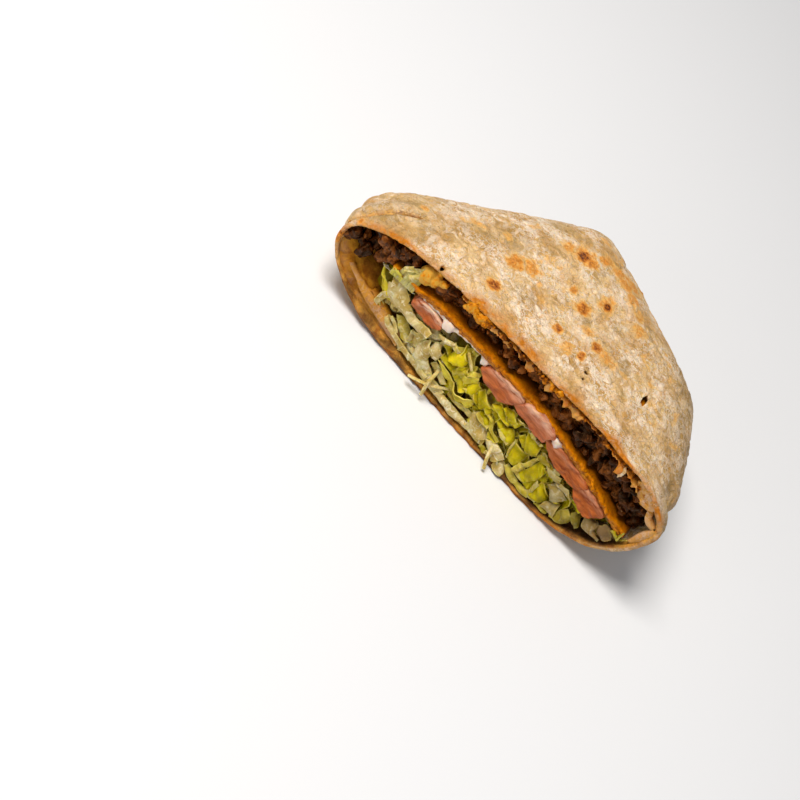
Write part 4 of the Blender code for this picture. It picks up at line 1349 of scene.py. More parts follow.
@dataclass(frozen=True)
class CreamFinish(Finish):
    """Sour cream: white, smooth and satin, tinted pink by the tomato it runs over."""

    name: str = "sour cream"
    roughness: float = 0.32
    ior: float = 1.36
    glow: float = 0.5
    glow_depth: float = 1.0
    white: str = "#E3D3C4"
    pink: str = "#D0A78E"

    def build(self) -> bpy.types.Material:
        """Make the material."""
        material, tree, shader = self.start()
        streaks = self.pattern(tree, 3.0, 4.0)
        base = self.blend(tree, self.ramp(tree, streaks, (0.45, 0.0), (0.66, 0.8)), self.white, self.pink)
        tree.links.new(base, shader.inputs["Base Color"])
        self.relief(tree, shader, (streaks, 0.4))
        return material


@dataclass(frozen=True)
class MeltFinish(Finish):
    """Grated cheese, melted: stretched strands, orange where thin and tan where it browned."""

    name: str = "grated cheese, melted"
    roughness: float = 0.34
    ior: float = 1.4
    glow: float = 0.35
    glow_depth: float = 1.2
    orange: str = "#CC7806"
    tan: str = "#CF9440"

    def build(self) -> bpy.types.Material:
        """Make the material."""
        material, tree, shader = self.start()
        patches = self.pattern(tree, 6.0, 3.0)
        base = self.blend(tree, self.ramp(tree, patches, (0.42, 0.0), (0.6, 1.0)), self.orange, self.tan)
        tree.links.new(base, shader.inputs["Base Color"])
        self.relief(tree, shader, (self.pattern(tree, 1.6, 4.0), 0.4))
        return material


@dataclass
class Layers:
    """Cheese sauce, crisp round, sour cream and melted cheese."""

    form: WrapForm
    filling: Filling

    def build(self) -> None:
        """Build and dress the four layers."""
        wave, fill = Grain(41), self.filling

        def edge(place: float, amount: float, size: float, seed: float) -> Callable[[np.ndarray], np.ndarray]:
            """Front line that wanders by an amount."""
            def line(x: np.ndarray) -> np.ndarray:
                flat = np.stack((x.ravel(), 0.0 * x.ravel() + seed, 0.0 * x.ravel()), -1)
                return place + amount * wave.rough(flat, size, 3).reshape(x.shape)
            return line

        sauce = Sheet(self.form, -60.5, 70.0, lambda x, y: fill.tostada_top(x, y) - 0.1,
                      lambda x, y: fill.nacho_top(x, y) + 0.25 * (y > 2.5), edge(-0.3, 2.3, 5.0, 2.0),
                      0.42, 0.35, 1.0, 0.5, 2.6)
        fit_out(sauce.build("cheese_sauce", 42), SauceFinish().build(), "nacho_cheese", "nacho_cheese")
        crisp = Sheet(self.form, -59.5, 68.5, fill.tostada_low, fill.tostada_top,
                      edge(0.3, 0.8, 3.0, 9.0), 0.5, 0.5, 1.0, 0.5, 1.3)
        fit_out(crisp.build("crisp_round", 43), FriedCornFinish().build(), "tostada", "tostada")

        def smeared(x: np.ndarray) -> np.ndarray:
            """Where the cream is smeared over the layers' front, from 0 to 1."""
            return np.minimum(1.0, np.exp(-((x + 29.0) / 17.0) ** 4) + np.exp(-((x - 27.0) / 4.5) ** 4)
                              + 0.8 * np.exp(-((x + 1.0) / 3.0) ** 4) + 0.6 * np.exp(-((x - 46.0) / 2.5) ** 4))

        def cream_front(x: np.ndarray) -> np.ndarray:
            """Front line of the cream, which bulges at its blobs."""
            drawn_in = 1.6 - 1.5 * smeared(x)
            return edge(0.2, 1.0, 5.0, 15.0)(x) + drawn_in - 1.2 * np.minimum(bump(x, fill.cream_blobs) / 3.5, 1.0)

        def cream_high(x: np.ndarray, y: np.ndarray) -> np.ndarray:
            """Top of the cream, which runs up over the crisp round's edge."""
            return fill.tostada_low(x, y) - 0.1 + 1.3 * smeared(x) * (1.0 - smooth(0.7, 1.2, y))

        def cream_under(x: np.ndarray, y: np.ndarray) -> np.ndarray:
            """Underside of the cream, whose blobs have partly run away."""
            low = fill.tostada_low(x, y) - fill.cream_thick
            return low + 0.55 * (fill.cream_low(x, y) - low)

        cream = Sheet(self.form, -50.0, 60.0, cream_under, cream_high, cream_front, 0.4, 0.9, 1.5, 0.8, 3.2)
        fit_out(cream.build("cream_layer", 44), CreamFinish().build(), "sour_cream", "sour_cream")

        def melt_low(x: np.ndarray, y: np.ndarray) -> np.ndarray:
            """Ragged underside of the melted cheese."""
            flat = np.stack((x.ravel(), 0.0 * x.ravel() + 33.0, 0.0 * x.ravel()), -1)
            rags = np.maximum(0.0, wave.rough(flat, 4.2, 3).reshape(x.shape) + 0.12) * 4.2
            return fill.melt_low(x, y) - rags * (1.0 - smooth(3.0, 9.0, y))

        melt = Sheet(self.form, -35.0, 60.0, melt_low, fill.ceiling, edge(0.5, 1.8, 4.0, 21.0),
                     0.42, 1.6, 1.5, 0.9, 2.0)
        fit_out(melt.build("melted_layer", 45), MeltFinish().build(), "melted_cheese", "melted_cheese")


# ---- the tomato -------------------------------------------------------------------------
@dataclass(frozen=True)
class TomatoFinish(Finish):
    """Cut tomato: watery, translucent flesh, pink at its core and orange-red towards the skin, with cream and a painted
    highlight on top.
    """

    name: str = "tomato, freshly cut"
    sheen: str = "#FFD8B4"
    roughness: float = 0.2
    ior: float = 1.35
    gloss: float = 0.5
    glow: float = 0.35
    glow_depth: float = 1.4
    red: str = "#BC6426"
    pink: str = "#C87A5A"
    deep: str = "#7C3004"
    # pale colour of the cream and of the painted highlight
    cream_and_highlight: str = "#E2C4AC"

    def build(self) -> bpy.types.Material:
        """Make the material."""
        material, tree, shader = self.start()
        place = add(tree, "ShaderNodeTexCoord").outputs["Object"]
        drawn = add(tree, "ShaderNodeMapping", {"Vector": place, "Scale": (0.35, 1.0, 1.6)}).outputs[0]
        fibres = add(tree, "ShaderNodeTexNoise", {
            "Vector": drawn, "Scale": 1.0 / (2.2 * MM), "Detail": 5.0, "Roughness": 0.6}).outputs["Fac"]
        base = self.blend(tree, self.ramp(tree, fibres, (0.32, 0.0), (0.62, 1.0)), self.deep, self.red)
        base = self.blend(tree, self.maths(tree, "MULTIPLY", self.value(tree, "pink"), self.ramp(
            tree, fibres, (0.35, 0.6), (0.62, 1.0))), base, self.pink)
        cream_and_highlight = self.maths(tree, "MULTIPLY", self.value(tree, "cream_and_highlight"), self.ramp(
            tree, fibres, (0.36, 0.0), (0.6, 0.85)))
        base = self.blend(tree, cream_and_highlight, base, self.cream_and_highlight)
        tree.links.new(base, shader.inputs["Base Color"])
        self.relief(tree, shader, (fibres, 0.28), (self.pattern(tree, 0.9, 2.0), 0.05))
        return material


@dataclass
class TomatoPiece:
    """One piece of a tomato slice, whose cut end faces the front."""

    form: WrapForm
    view: PhotoView
    number: int
    outline: tuple[tuple[float, float], ...]      # its cut end, in the photograph's pixels
    pink: float                                   # how pale its flesh is
    cream_and_highlight: float = 0.6                             # how much cream has run over it and how strong its painted highlight is
    front: float = -0.6
    lean: float = 0.0                             # how much its top stands forward, mm
    lip: float = 0.8                              # how far its edges round off
    sides: int = 96
    depth: float = 24.5

    def build(self, material: bpy.types.Material) -> None:
        """Build and dress the piece."""
        seen = np.array([self.view.seen(*pixel, self.front)[[0, 2]] for pixel in self.outline])
        outline = self.smoothed(seen)
        middle = 0.5 * (outline.min(axis=0) + outline.max(axis=0))
        half = 0.5 * np.ptp(outline[:, 1])
        rings = [(0.02, 0.3), (0.25, 0.2), (0.5, 0.1), (0.7, 0.0), (0.85, 0.0), (0.95, 0.05)]
        rings += [(1.0, k) for k in (0.1, 0.3, 0.6, 1.0, 1.5, 2.5, 4.0, 7.0, 11.0, 16.0, 20.0, 23.0, 24.0, 24.4)]
        grain = Grain(60 + self.number)
        blocks, cream_and_highlight, pink = [], [], []
        for scale, offset in rings:
            edge = 1.0 - math.sqrt(max(0.0, 1.0 - (1.0 - min(1.0, offset / self.lip)) ** 2))
            tail = max(0.05, min(1.0, (self.depth - offset) / 1.5)) ** 0.5
            own = scale * (1.0 - 0.8 * edge * self.lip / half) * tail
            places = middle + (outline - middle) * own
            above = np.clip((outline[:, 1] - middle[1]) / half, -1.0, 1.0)
            y = self.front + offset - self.lean * np.maximum(0.0, above) * scale * (offset < 3.0)
            solid = self.form.carried(places[:, 0], places[:, 1], np.broadcast_to(y, above.shape))
            near = math.exp(-offset / 5.0)
            for axis, (amount, size) in enumerate(((0.5, 4.0), (1.3, 4.5), (0.5, 3.0))):
                solid[:, axis] += near * amount * grain.rough(solid + 19.0 * axis, size, 3)
            blocks.append(solid)
            # Cream and painted highlight, on the upper part of the cut end.
            cream_and_highlight.append(self.cream_and_highlight * smooth(0.1, 0.9, above * scale) * near)
            pink.append(np.full(self.sides, self.pink) * (0.7 + 0.3 * above))
        points = np.concatenate(blocks)
        faces = [tuple(range(self.sides))[::-1]]
        for ring in range(len(rings) - 1):
            for k in range(self.sides):
                here, there = ring * self.sides, (ring + 1) * self.sides
                n = (k + 1) % self.sides
                faces.append((here + k, here + n, there + n, there + k))
        faces.append(tuple(range(len(points) - self.sides, len(points))))
        piece = make_mesh(f"tomato_piece_{self.number}", points, faces,
                          {"cream_and_highlight": np.concatenate(cream_and_highlight), "pink": np.concatenate(pink)})
        face_outwards(piece)
        fit_out(piece, material, "tomato", f"tomato_{self.number}")

    def smoothed(self, corners: np.ndarray) -> np.ndarray:
        """Closed smooth line through the outline's corners.

        Args:
            corners: rows of x and z.

        Returns:
            As many rows as the piece has sides, evenly spaced.
        """
        line = []
        count = len(corners)
        for k in range(count):
            before, here, there, after = (corners[(k + n) % count] for n in (-1, 0, 1, 2))
            for t in np.linspace(0.0, 1.0, 12, endpoint=False):
                line.append(0.5 * (2.0 * here + (there - before) * t
                                   + (2.0 * before - 5.0 * here + 4.0 * there - after) * t * t
                                   + (3.0 * here - before - 3.0 * there + after) * t ** 3))
        line = np.array(line + line[:1])
        length = np.concatenate(([0.0], np.cumsum(np.linalg.norm(np.diff(line, axis=0), axis=1))))
        want = np.linspace(0.0, length[-1], self.sides, endpoint=False)
        return np.stack([np.interp(want, length, line[:, k]) for k in (0, 1)], -1)


TOMATOES = (
    (((411.5, 300.5), (417, 299.5), (423, 302), (430, 309.5), (436, 317), (442, 327), (438.5, 331),
      (431, 328.5), (424, 321.5), (416.5, 313.5), (411.5, 307)), 0.45, 1.2, 0.0),
    (((479.5, 369.5), (486, 368.5), (494, 371), (503, 378.5), (512, 387), (521, 395), (524, 404),
      (515, 406), (506.5, 406), (498, 402), (491, 393.5), (484, 382)), 0.5, 0.7, 0.0),
    (((513, 405), (521, 404.5), (530, 405), (539, 411.5), (547, 420.5), (554, 431), (555.5, 440),
      (549, 440), (541.5, 443.5), (534.5, 437), (527.5, 427), (518.5, 416.5)), 0.85, 0.75, 1.2),
    (((546, 441), (552.5, 444.5), (560, 450), (567, 458), (574, 468.5), (581, 478), (587.5, 489),
      (580.5, 491), (573, 489.5), (564.5, 480.5), (556.5, 471.5), (550, 462), (546, 451)), 0.12, 0.25, 0.0),
    (((572.5, 489), (580.5, 488.5), (589, 491), (595.5, 501), (604, 517.5), (594, 519.5), (583, 517),
      (576.5, 508), (572.5, 498)), 0.1, 0.4, 0.0),
)


# ---- the beef ----------------------------------------------------------------------------
@dataclass(frozen=True)
class BeefFinish(Finish):
    """Ground beef, browned and seasoned: dark, greasy crumbs with a tan fibre showing here and there."""

    name: str = "ground beef, browned"
    sheen: str = "#FFC890"
    roughness: float = 0.27
    ior: float = 1.38
    gloss: float = 0.42
    glow: float = 0.12
    dark: str = "#160601"
    brown: str = "#4E2306"
    tan: str = "#9C5A24"

    def build(self) -> bpy.types.Material:
        """Make the material."""
        material, tree, shader = self.start()
        fibres = self.pattern(tree, 2.6, 5.0, 0.58, 0.8)
        tone = self.maths(tree, "ADD", fibres, self.maths(tree, "MULTIPLY_ADD", self.value(tree, "tint"), 0.24, -0.12))
        base = self.ramp(tree, tone, (0.34, self.dark), (0.5, self.brown), (0.68, self.tan))
        # The 'deep' share darkens the beef as painted shade.
        base = self.blend(tree, self.value(tree, "deep"), base, self.dark)
        tree.links.new(base, shader.inputs["Base Color"])
        self.relief(tree, shader, (fibres, 0.5), (self.pattern(tree, 0.8, 2.0), 0.08))
        return material


class NodeModel:
    """A Geometry Nodes tree that turns a plain mesh of places into finished pieces."""

    def __init__(self, name: str, inputs: dict[str, float]) -> None:
        """Start the tree.

        Args:
            name: the tree's name.
            inputs: its named numbers with their values.
        """
        self.tree = bpy.data.node_groups.new(name, "GeometryNodeTree")
        face = self.tree.interface
        face.new_socket("Geometry", in_out="INPUT", socket_type="NodeSocketGeometry")
        face.new_socket("Geometry", in_out="OUTPUT", socket_type="NodeSocketGeometry")
        self.values = {}
        for key, value in inputs.items():
            socket = face.new_socket(key, in_out="INPUT", socket_type="NodeSocketFloat")
            socket.default_value = value
            self.values[socket.identifier] = value
        self.entry = self.tree.nodes.new("NodeGroupInput")

    def node(self, kind: str, inputs: dict[int | str, object] | None = None, **settings: object) -> bpy.types.Node:
        """Add a node to the tree."""
        return add(self.tree, kind, inputs, **settings)

    def named(self, key: str, kind: str = "FLOAT") -> bpy.types.NodeSocket:
        """Number that the places carry."""
        return self.node("GeometryNodeInputNamedAttribute", {"Name": key}, data_type=kind).outputs[0]

    def finish(self, shape: bpy.types.NodeSocket, material: bpy.types.Material) -> None:
        """End the tree with real, smooth geometry that has its material."""
        real = self.node("GeometryNodeRealizeInstances", {0: shape}).outputs[0]
        even = self.node("GeometryNodeSetShadeSmooth", {0: real}).outputs[0]
        dressed = self.node("GeometryNodeSetMaterial", {"Geometry": even, "Material": material}).outputs[0]
        self.node("NodeGroupOutput", {0: dressed})

    def run(self, places: bpy.types.Object) -> bpy.types.Object:
        """Put the tree on an object of places and bake the result."""
        modifier = places.modifiers.new("pieces", "NODES")
        modifier.node_group = self.tree
        for identifier, value in self.values.items():
            modifier[identifier] = value
        return baked(places)


def scatter(name: str, points: np.ndarray, values: dict[str, np.ndarray],
            edges: Sequence[tuple[int, int]] = ()) -> bpy.types.Object:
    """Make an object of bare places for a NodeModel.

    Args:
        name: the object's name.
        points: places as rows of x, y, z in cut millimetres.
        values: numbers or rows of three for each place.
        edges: pairs of places that are joined into paths.

    Returns:
        The object.
    """
    mesh = bpy.data.meshes.new(name)
    mesh.from_pydata(to_frame(points).tolist(), [tuple(map(int, e)) for e in edges], [])
    for key, numbers in values.items():
        numbers = np.asarray(numbers, np.float32)
        vector = numbers.ndim == 2
        layer = mesh.attributes.new(key, "FLOAT_VECTOR" if vector else "FLOAT", "POINT")
        layer.data.foreach_set("vector" if vector else "value", numbers.ravel())
    piece = bpy.data.objects.new(name, mesh)
    bpy.context.scene.collection.objects.link(piece)
    return piece


@dataclass(frozen=True)
class Heap:
    """Lumps of one size, rough balls that a Geometry Nodes tree sets on given places."""

    detail: int                    # how finely each lump is divided
    width: float                   # width of the swellings on a lump, mm
    height: float                  # how far they stand out, mm
    squash: tuple[float, float] = (0.62, 1.35)    # least and most of a lump's own proportions
    roughness: float = 0.45
    finer: float = 1.5             # how many finer swellings are added

    def build(self, name: str, lumps: np.ndarray, deep: np.ndarray, material: bpy.types.Material,
              seed: int) -> bpy.types.Object:
        """Make the lumps.

        Args:
            name: the object's name.
            lumps: rows of x, y, z and radius in cut millimetres.
            deep: how shaded each lies, from 0 to 1.
            material: their finish.
            seed: picks how each is turned, drawn out and tinted.

        Returns:
            The lumps as one plain mesh.
        """
        chance = random.Random(seed)
        size = np.array([[r * chance.uniform(*self.squash) for _ in range(3)] for r in lumps[:, 3]])
        turn = np.array([[chance.uniform(0.0, math.tau) for _ in range(3)] for _ in lumps])
        tint = np.array([chance.random() for _ in lumps])
        model = NodeModel(name, {"Lump width": self.width * MM, "Lump height": self.height * MM})
        ball = model.node("GeometryNodeMeshIcoSphere", {"Radius": MM, "Subdivisions": self.detail}).outputs[0]
        heap = model.node("GeometryNodeInstanceOnPoints", {
            "Points": model.entry.outputs["Geometry"], "Instance": ball,
            "Rotation": model.named("turn", "FLOAT_VECTOR"), "Scale": model.named("size", "FLOAT_VECTOR")}).outputs[0]
        real = model.node("GeometryNodeRealizeInstances", {0: heap}).outputs[0]
        spot = model.node("GeometryNodeInputPosition").outputs[0]
        scale = model.node("ShaderNodeMath", {0: 1.0, 1: model.entry.outputs["Lump width"]}, operation="DIVIDE")
        rough = model.node("ShaderNodeTexNoise", {
            "Vector": spot, "Scale": scale.outputs[0], "Detail": self.finer, "Roughness": self.roughness}).outputs["Fac"]
        lift = model.node("ShaderNodeMath", {0: rough, 1: 0.5}, operation="SUBTRACT").outputs[0]
        lift = model.node("ShaderNodeMath", {0: lift, 1: 6.0}, operation="MULTIPLY").outputs[0]
        lift = model.node("ShaderNodeMath", {0: lift, 1: model.entry.outputs["Lump height"]}, operation="MULTIPLY")
        facing = model.node("GeometryNodeInputNormal").outputs[0]
        push = model.node("ShaderNodeVectorMath", {0: facing, "Scale": lift.outputs[0]}, operation="SCALE")
        moved = model.node("GeometryNodeSetPosition", {"Geometry": real, "Offset": push.outputs[0]}).outputs[0]
        model.finish(moved, material)
        return model.run(scatter(name, lumps[:, :3], {"size": size, "turn": turn, "tint": tint, "deep": deep}))


def apart(lumps: np.ndarray, count: int, share: float) -> np.ndarray:
    """Keep lumps that don't lie too deep in each other.

    Args:
        lumps: rows of x, y, z and radius.
        count: how many are wanted.
        share: least distance of two, as a share of their radii's sum.

    Returns:
        The rows that are kept, in their order.
    """
    kept = np.empty((0, 4))
    for row in lumps:
        away = np.linalg.norm(kept[:, :3] - row[:3], axis=1) > share * (kept[:, 3] + row[3])
        if len(kept) < count and away.all():
            kept = np.vstack((kept, row))
    return kept


@dataclass
class Beef:
    """Ground beef: a rough core and the crumbs that lie before it."""

    form: WrapForm
    filling: Filling
    view: PhotoView
    left: float = -80.0
    right: float = 71.0
    core_front: float = 8.5
    # Dark hollows seen between the crumbs: left, right, lowest, highest.
    hollows: tuple[tuple[float, float, float, float], ...] = (
        (-78.0, -70.0, 35.5, 39.5), (-29.0, -19.0, 39.8, 43.0), (0.5, 3.7, 42.0, 47.0), (43.0, 49.0, 44.5, 49.0))
    # Each size of crumb: least and most radius, how many, how it is divided.
    sizes: tuple[tuple[float, float, int, Heap], ...] = (
        (3.0, 5.0, 66, Heap(4, 4.0, 1.3)), (1.4, 2.5, 120, Heap(3, 2.6, 0.8)))
    # Crumbs at the left end, in the photograph's pixels, with their depth and radius.
    placed: tuple[tuple[float, float, float, float], ...] = (
        (356.5, 230.0, 2.6, 2.2), (351.5, 234.0, 3.0, 1.5), (361.0, 238.0, 4.5, 2.0), (365.0, 247.0, 4.5, 3.4),
        (374.0, 250.0, 4.2, 3.6), (384.0, 254.0, 4.6, 3.0), (360.0, 252.0, 5.5, 2.6), (390.0, 242.0, 3.0, 3.4),
        (399.0, 246.0, 2.6, 3.8), (408.0, 253.0, 2.4, 3.6), (417.0, 259.0, 2.2, 3.0), (396.0, 256.0, 3.4, 3.2),
        (384.0, 229.0, 4.0, 1.8), (378.0, 240.0, 6.5, 2.6))
    seed: int = 5
    tries: int = 9000

    def build(self) -> None:
        """Build and dress the core and the crumbs."""
        material = BeefFinish().build()
        fill, grain = self.filling, Grain(51)

        def front(x: np.ndarray) -> np.ndarray:
            """Front line of the core, deeper in the hollows."""
            flat = np.stack((x.ravel(), 0.0 * x.ravel(), 0.0 * x.ravel()), -1)
            hollow = sum(np.exp(-((x - 0.5 * (a + b)) / (0.6 * (b - a))) ** 4) for a, b, _, _ in self.hollows)
            return self.core_front + 1.5 * grain.rough(flat, 6.0).reshape(x.shape) + 3.0 * hollow

        core = Sheet(self.form, self.left, self.right, fill.beef_low,
                     lambda x, y: np.maximum(fill.melt_low(x, 30.0 + 0.0 * y) - 0.3, fill.beef_low(x, y) + 1.0),
                     front, 0.7, 3.0, 4.0, 1.6, 4.0)
        # The core behind the crumbs is darkened as painted shade.
        fit_out(core.build("beef_core", 52, {"tint": 0.2, "deep": 0.7}), material, "beef", "beef")
        for number, (least, most, count, heap) in enumerate(self.sizes):
            lumps = self.candidates(least, most, number)
            if number == 0:
                placed = [(*self.view.seen(x, y, depth), radius) for x, y, depth, radius in self.placed]
                lumps = np.concatenate((placed, lumps[lumps[:, 0] > -64.0]))
            lumps = apart(lumps, count, 0.62)
            # Painted shade: crumbs further back, at the left end and to the right are darkened.
            deep = np.maximum(smooth(6.0, 10.0, lumps[:, 1]) * 0.6, 0.3 * (lumps[:, 0] < -50.0) + 0.15 * (lumps[:, 0] > -15.0) + 0.3 * (lumps[:, 0] > 15.0))
            crumbs = heap.build(f"beef_crumbs_{number}", lumps, deep, material, self.seed + number)
            fit_out(crumbs, material, "beef", "beef")

    def candidates(self, least: float, most: float, number: int) -> np.ndarray:
        """Draw places for crumbs of one size before the core.

        Args:
            least: smallest radius, mm.
            most: largest radius, mm.
            number: picks the draw.

        Returns:
            Rows of x, y, z and radius.
        """
        chance = random.Random(self.seed + 10 + number)
        draws = np.array([[chance.random() for _ in range(4)] for _ in range(self.tries)])
        x = self.left + 1.0 + draws[:, 0] * (self.right - self.left - 3.0)
        radius = least + draws[:, 1] ** 1.5 * (most - least)
        y = 2.6 + 5.0 * draws[:, 2] + 0.5 * radius
        low = self.form.carried(x, self.filling.beef_low(x, y), y)[:, 2] + 0.6 * radius
        high = self.form.carried(x, self.filling.melt_low(x, y), y)[:, 2] - 0.6 * radius
        z = low + draws[:, 3] * np.maximum(high - low, 0.0)
        seen = z + 0.93 * y
        clear = high > low
        for first, last, lowest, highest in self.hollows:
            clear &= ~((x > first) & (x < last) & (seen > lowest) & (seen < highest) & (y < 9.5))
        return np.stack((x, y, z, radius), -1)[clear]


@dataclass(frozen=True)
class CrispFinish(Finish):
    """Cheese that ran out and fried: orange and glossy where soft, brown and crumbly where crisp."""

    name: str = "cheese, fried at the edge"
    sheen: str = "#FFC46C"
    roughness: float = 0.34
    ior: float = 1.38
    gloss: float = 0.35
    glow: float = 0.3
    orange: str = "#D2820A"
    yellow: str = "#D2A040"
    tan: str = "#9C5810"
    brown: str = "#502404"

    def build(self) -> bpy.types.Material:
        """Make the material."""
        material, tree, shader = self.start()
        crumb = self.pattern(tree, 1.8, 5.0, 0.65)
        tone = self.maths(tree, "ADD", self.value(tree, "tone"), self.maths(tree, "MULTIPLY_ADD", crumb, 2.0, -1.0))
        base = self.ramp(tree, tone, (0.15, self.yellow), (0.42, self.orange), (0.64, self.tan), (0.86, self.brown))
        tree.links.new(base, shader.inputs["Base Color"])
        self.relief(tree, shader, (crumb, 0.4))
        return material


@dataclass
class CrispedCheese:
    """Lumps of cheese that hang from the upper sheet's edge."""

    form: WrapForm
    filling: Filling
    view: PhotoView
    # Runs along the edge: left, right, how many, least and most radius, how far down they reach.
    runs: tuple[tuple[float, float, int, float, float, float], ...] = (
        (-31.0, -21.0, 40, 0.9, 2.0, 4.0), (-21.0, -4.0, 36, 0.5, 1.2, 2.8), (-4.0, 6.0, 12, 0.5, 1.0, 1.4),
        (6.0, 16.0, 24, 0.7, 1.4, 2.0), (16.0, 34.0, 20, 0.5, 1.0, 1.6), (34.0, 52.0, 22, 0.5, 1.1, 1.8),
        (52.0, 64.0, 8, 0.5, 1.0, 1.2))
    # Bigger lumps, in the photograph's pixels, with their depth and radius.
    lumps: tuple[tuple[float, float, float, float], ...] = (
        (430.0, 275.0, 2.4, 2.8), (437.0, 282.0, 2.2, 3.2), (445.0, 285.0, 2.0, 2.4),
        (474.0, 306.0, 0.6, 2.8), (480.0, 315.0, 0.6, 2.7), (486.0, 322.0, 0.6, 2.2), (553.0, 388.0, 0.4, 1.6),
        (560.0, 393.0, 0.4, 1.5), (606.0, 444.0, 0.5, 1.4))
    seed: int = 23
    melt_step: float = 0.3         # fineness of the lumps once they have run together, mm
    # How browned the cheese is along the edge: place, and 0 pale yellow to 1 brown.
    tones: tuple[tuple[float, float], ...] = (
        (-50.0, 0.1), (-42.0, 0.2), (-32.0, 0.36), (-22.0, 0.46), (-19.0, 0.85), (-4.0, 0.95), (6.0, 0.8),
        (9.0, 0.45), (15.0, 0.48), (20.0, 0.85), (36.0, 0.85), (44.0, 0.7), (64.0, 0.75))

    def build(self) -> None:
        """Build and dress the lumps."""
        chance = random.Random(self.seed)
        rows = [(*self.view.seen(x, y, depth), radius) for x, y, depth, radius in self.lumps]
        for left, right, count, least, most, reach in self.runs:
            for _ in range(count):
                x, y = chance.uniform(left, right), chance.uniform(-0.1, 4.0)
                radius = chance.uniform(least, most)
                high = float(self.filling.ceiling(np.array([x]), np.array([0.0]))[0]) + 1.3
                rows.append((x, y, high - chance.random() ** 1.6 * reach - 0.3 * radius, radius))
        lumps = np.array(rows)
        heap = Heap(3, 2.0, 0.5, (0.5, 1.5), 0.5, 1.0)
        material = CrispFinish().build()
        piece = heap.build("fried_cheese", lumps, np.zeros(len(lumps)), material, self.seed)
        melt = piece.modifiers.new("run together", "REMESH")
        melt.mode, melt.voxel_size, melt.use_smooth_shade = "VOXEL", self.melt_step * MM, True
        sag = piece.modifiers.new("soften", "SMOOTH")
        sag.factor, sag.iterations = 0.5, 8
        baked(piece)
        flat = np.empty(len(piece.data.vertices) * 3)
        piece.data.vertices.foreach_get("co", flat)
        tone = np.interp(flat[::3] / MM + ORIGIN[0], [t[0] for t in self.tones], [t[1] for t in self.tones])
        piece.data.attributes.new("tone", "FLOAT", "POINT").data.foreach_set("value", tone.astype(np.float32))
        fit_out(piece, material, "melted_cheese", "melted_cheese")


# ---- the lettuce --------------------------------------------------------------------------
@dataclass(frozen=True)
class LettuceFinish(Finish):
    """Shredded iceberg: crisp, thin and translucent, white-green at the rib and lime at the leaf."""

    name: str = "iceberg lettuce, shredded"
    sheen: str = "#FFEE90"
    roughness: float = 0.22
    ior: float = 1.34
    gloss: float = 0.4
    glow: float = 0.35
    glow_depth: float = 1.2
    lime: str = "#D6C414"
    leaf: str = "#A69606"
    pale: str = "#D2C290"
    rib: str = "#B2964E"
    light: str = "#EBE4C8"
    edge: str = "#ECDA7C"
    shade: str = "#4A3A02"
    blush: str = "#A07C62"

    def build(self) -> bpy.types.Material:
        """Make the material."""
        material, tree, shader = self.start()
        cells = self.pattern(tree, 7.0, 3.0, 0.5)
        veins = self.ramp(tree, self.net(tree, 2.6, 0.8), (0.0, 1.0), (0.06, 0.0))
        green = self.blend(tree, self.ramp(tree, cells, (0.4, 0.0), (0.6, 1.0)), self.leaf, self.lime)
        streaks = self.pattern(tree, 2.2, 4.0, 0.6, 1.0)
        white = self.blend(tree, self.ramp(tree, cells, (0.42, 0.0), (0.6, 1.0)), self.rib, self.pale)
        # Light streaks on the pale pieces: partly the rib's whitish veins, partly painted highlight.
        white = self.blend(tree, self.ramp(tree, streaks, (0.52, 0.0), (0.66, 0.75)), white, self.light)
        white = self.blend(tree, self.ramp(tree, streaks, (0.36, 0.5), (0.46, 0.0)), white, self.rib)
        base = self.blend(tree, self.ramp(tree, self.value(tree, "pale"), (0.18, 0.0), (0.9, 1.0)), green, white)
        base = self.blend(tree, self.maths(tree, "MULTIPLY", veins, 0.12), base, self.edge)
        base = self.blend(tree, self.value(tree, "blush"), base, self.blush)
        # Lighter rims: partly the pale cut edge, partly painted highlight.
        base = self.blend(tree, self.maths(tree, "MULTIPLY", self.value(tree, "rim"), 0.45), base, self.edge)
        base = self.blend(tree, self.value(tree, "deep"), base, self.shade)
        tree.links.new(base, shader.inputs["Base Color"])
        self.relief(tree, shader, (veins, 0.06), (self.pattern(tree, 1.6, 3.0), 0.08))
        return material


@dataclass(frozen=True)
class Leaf:
    """One cut piece of leaf, stretched between two edges given in the photograph's pixels."""

    first: tuple[tuple[float, float], ...]
    second: tuple[tuple[float, float], ...]
    depths: tuple[float, float, float, float]     # y at the start and end of each edge, mm
    pale: float                                   # 0 lime leaf, 1 white rib
    bow: float = 0.7                              # how far it curves between its edges, mm
    thick: float = 0.35
    deep: float = 0.0                             # how shaded it lies
    blush: float = 0.0                            # how far it has turned brownish pink


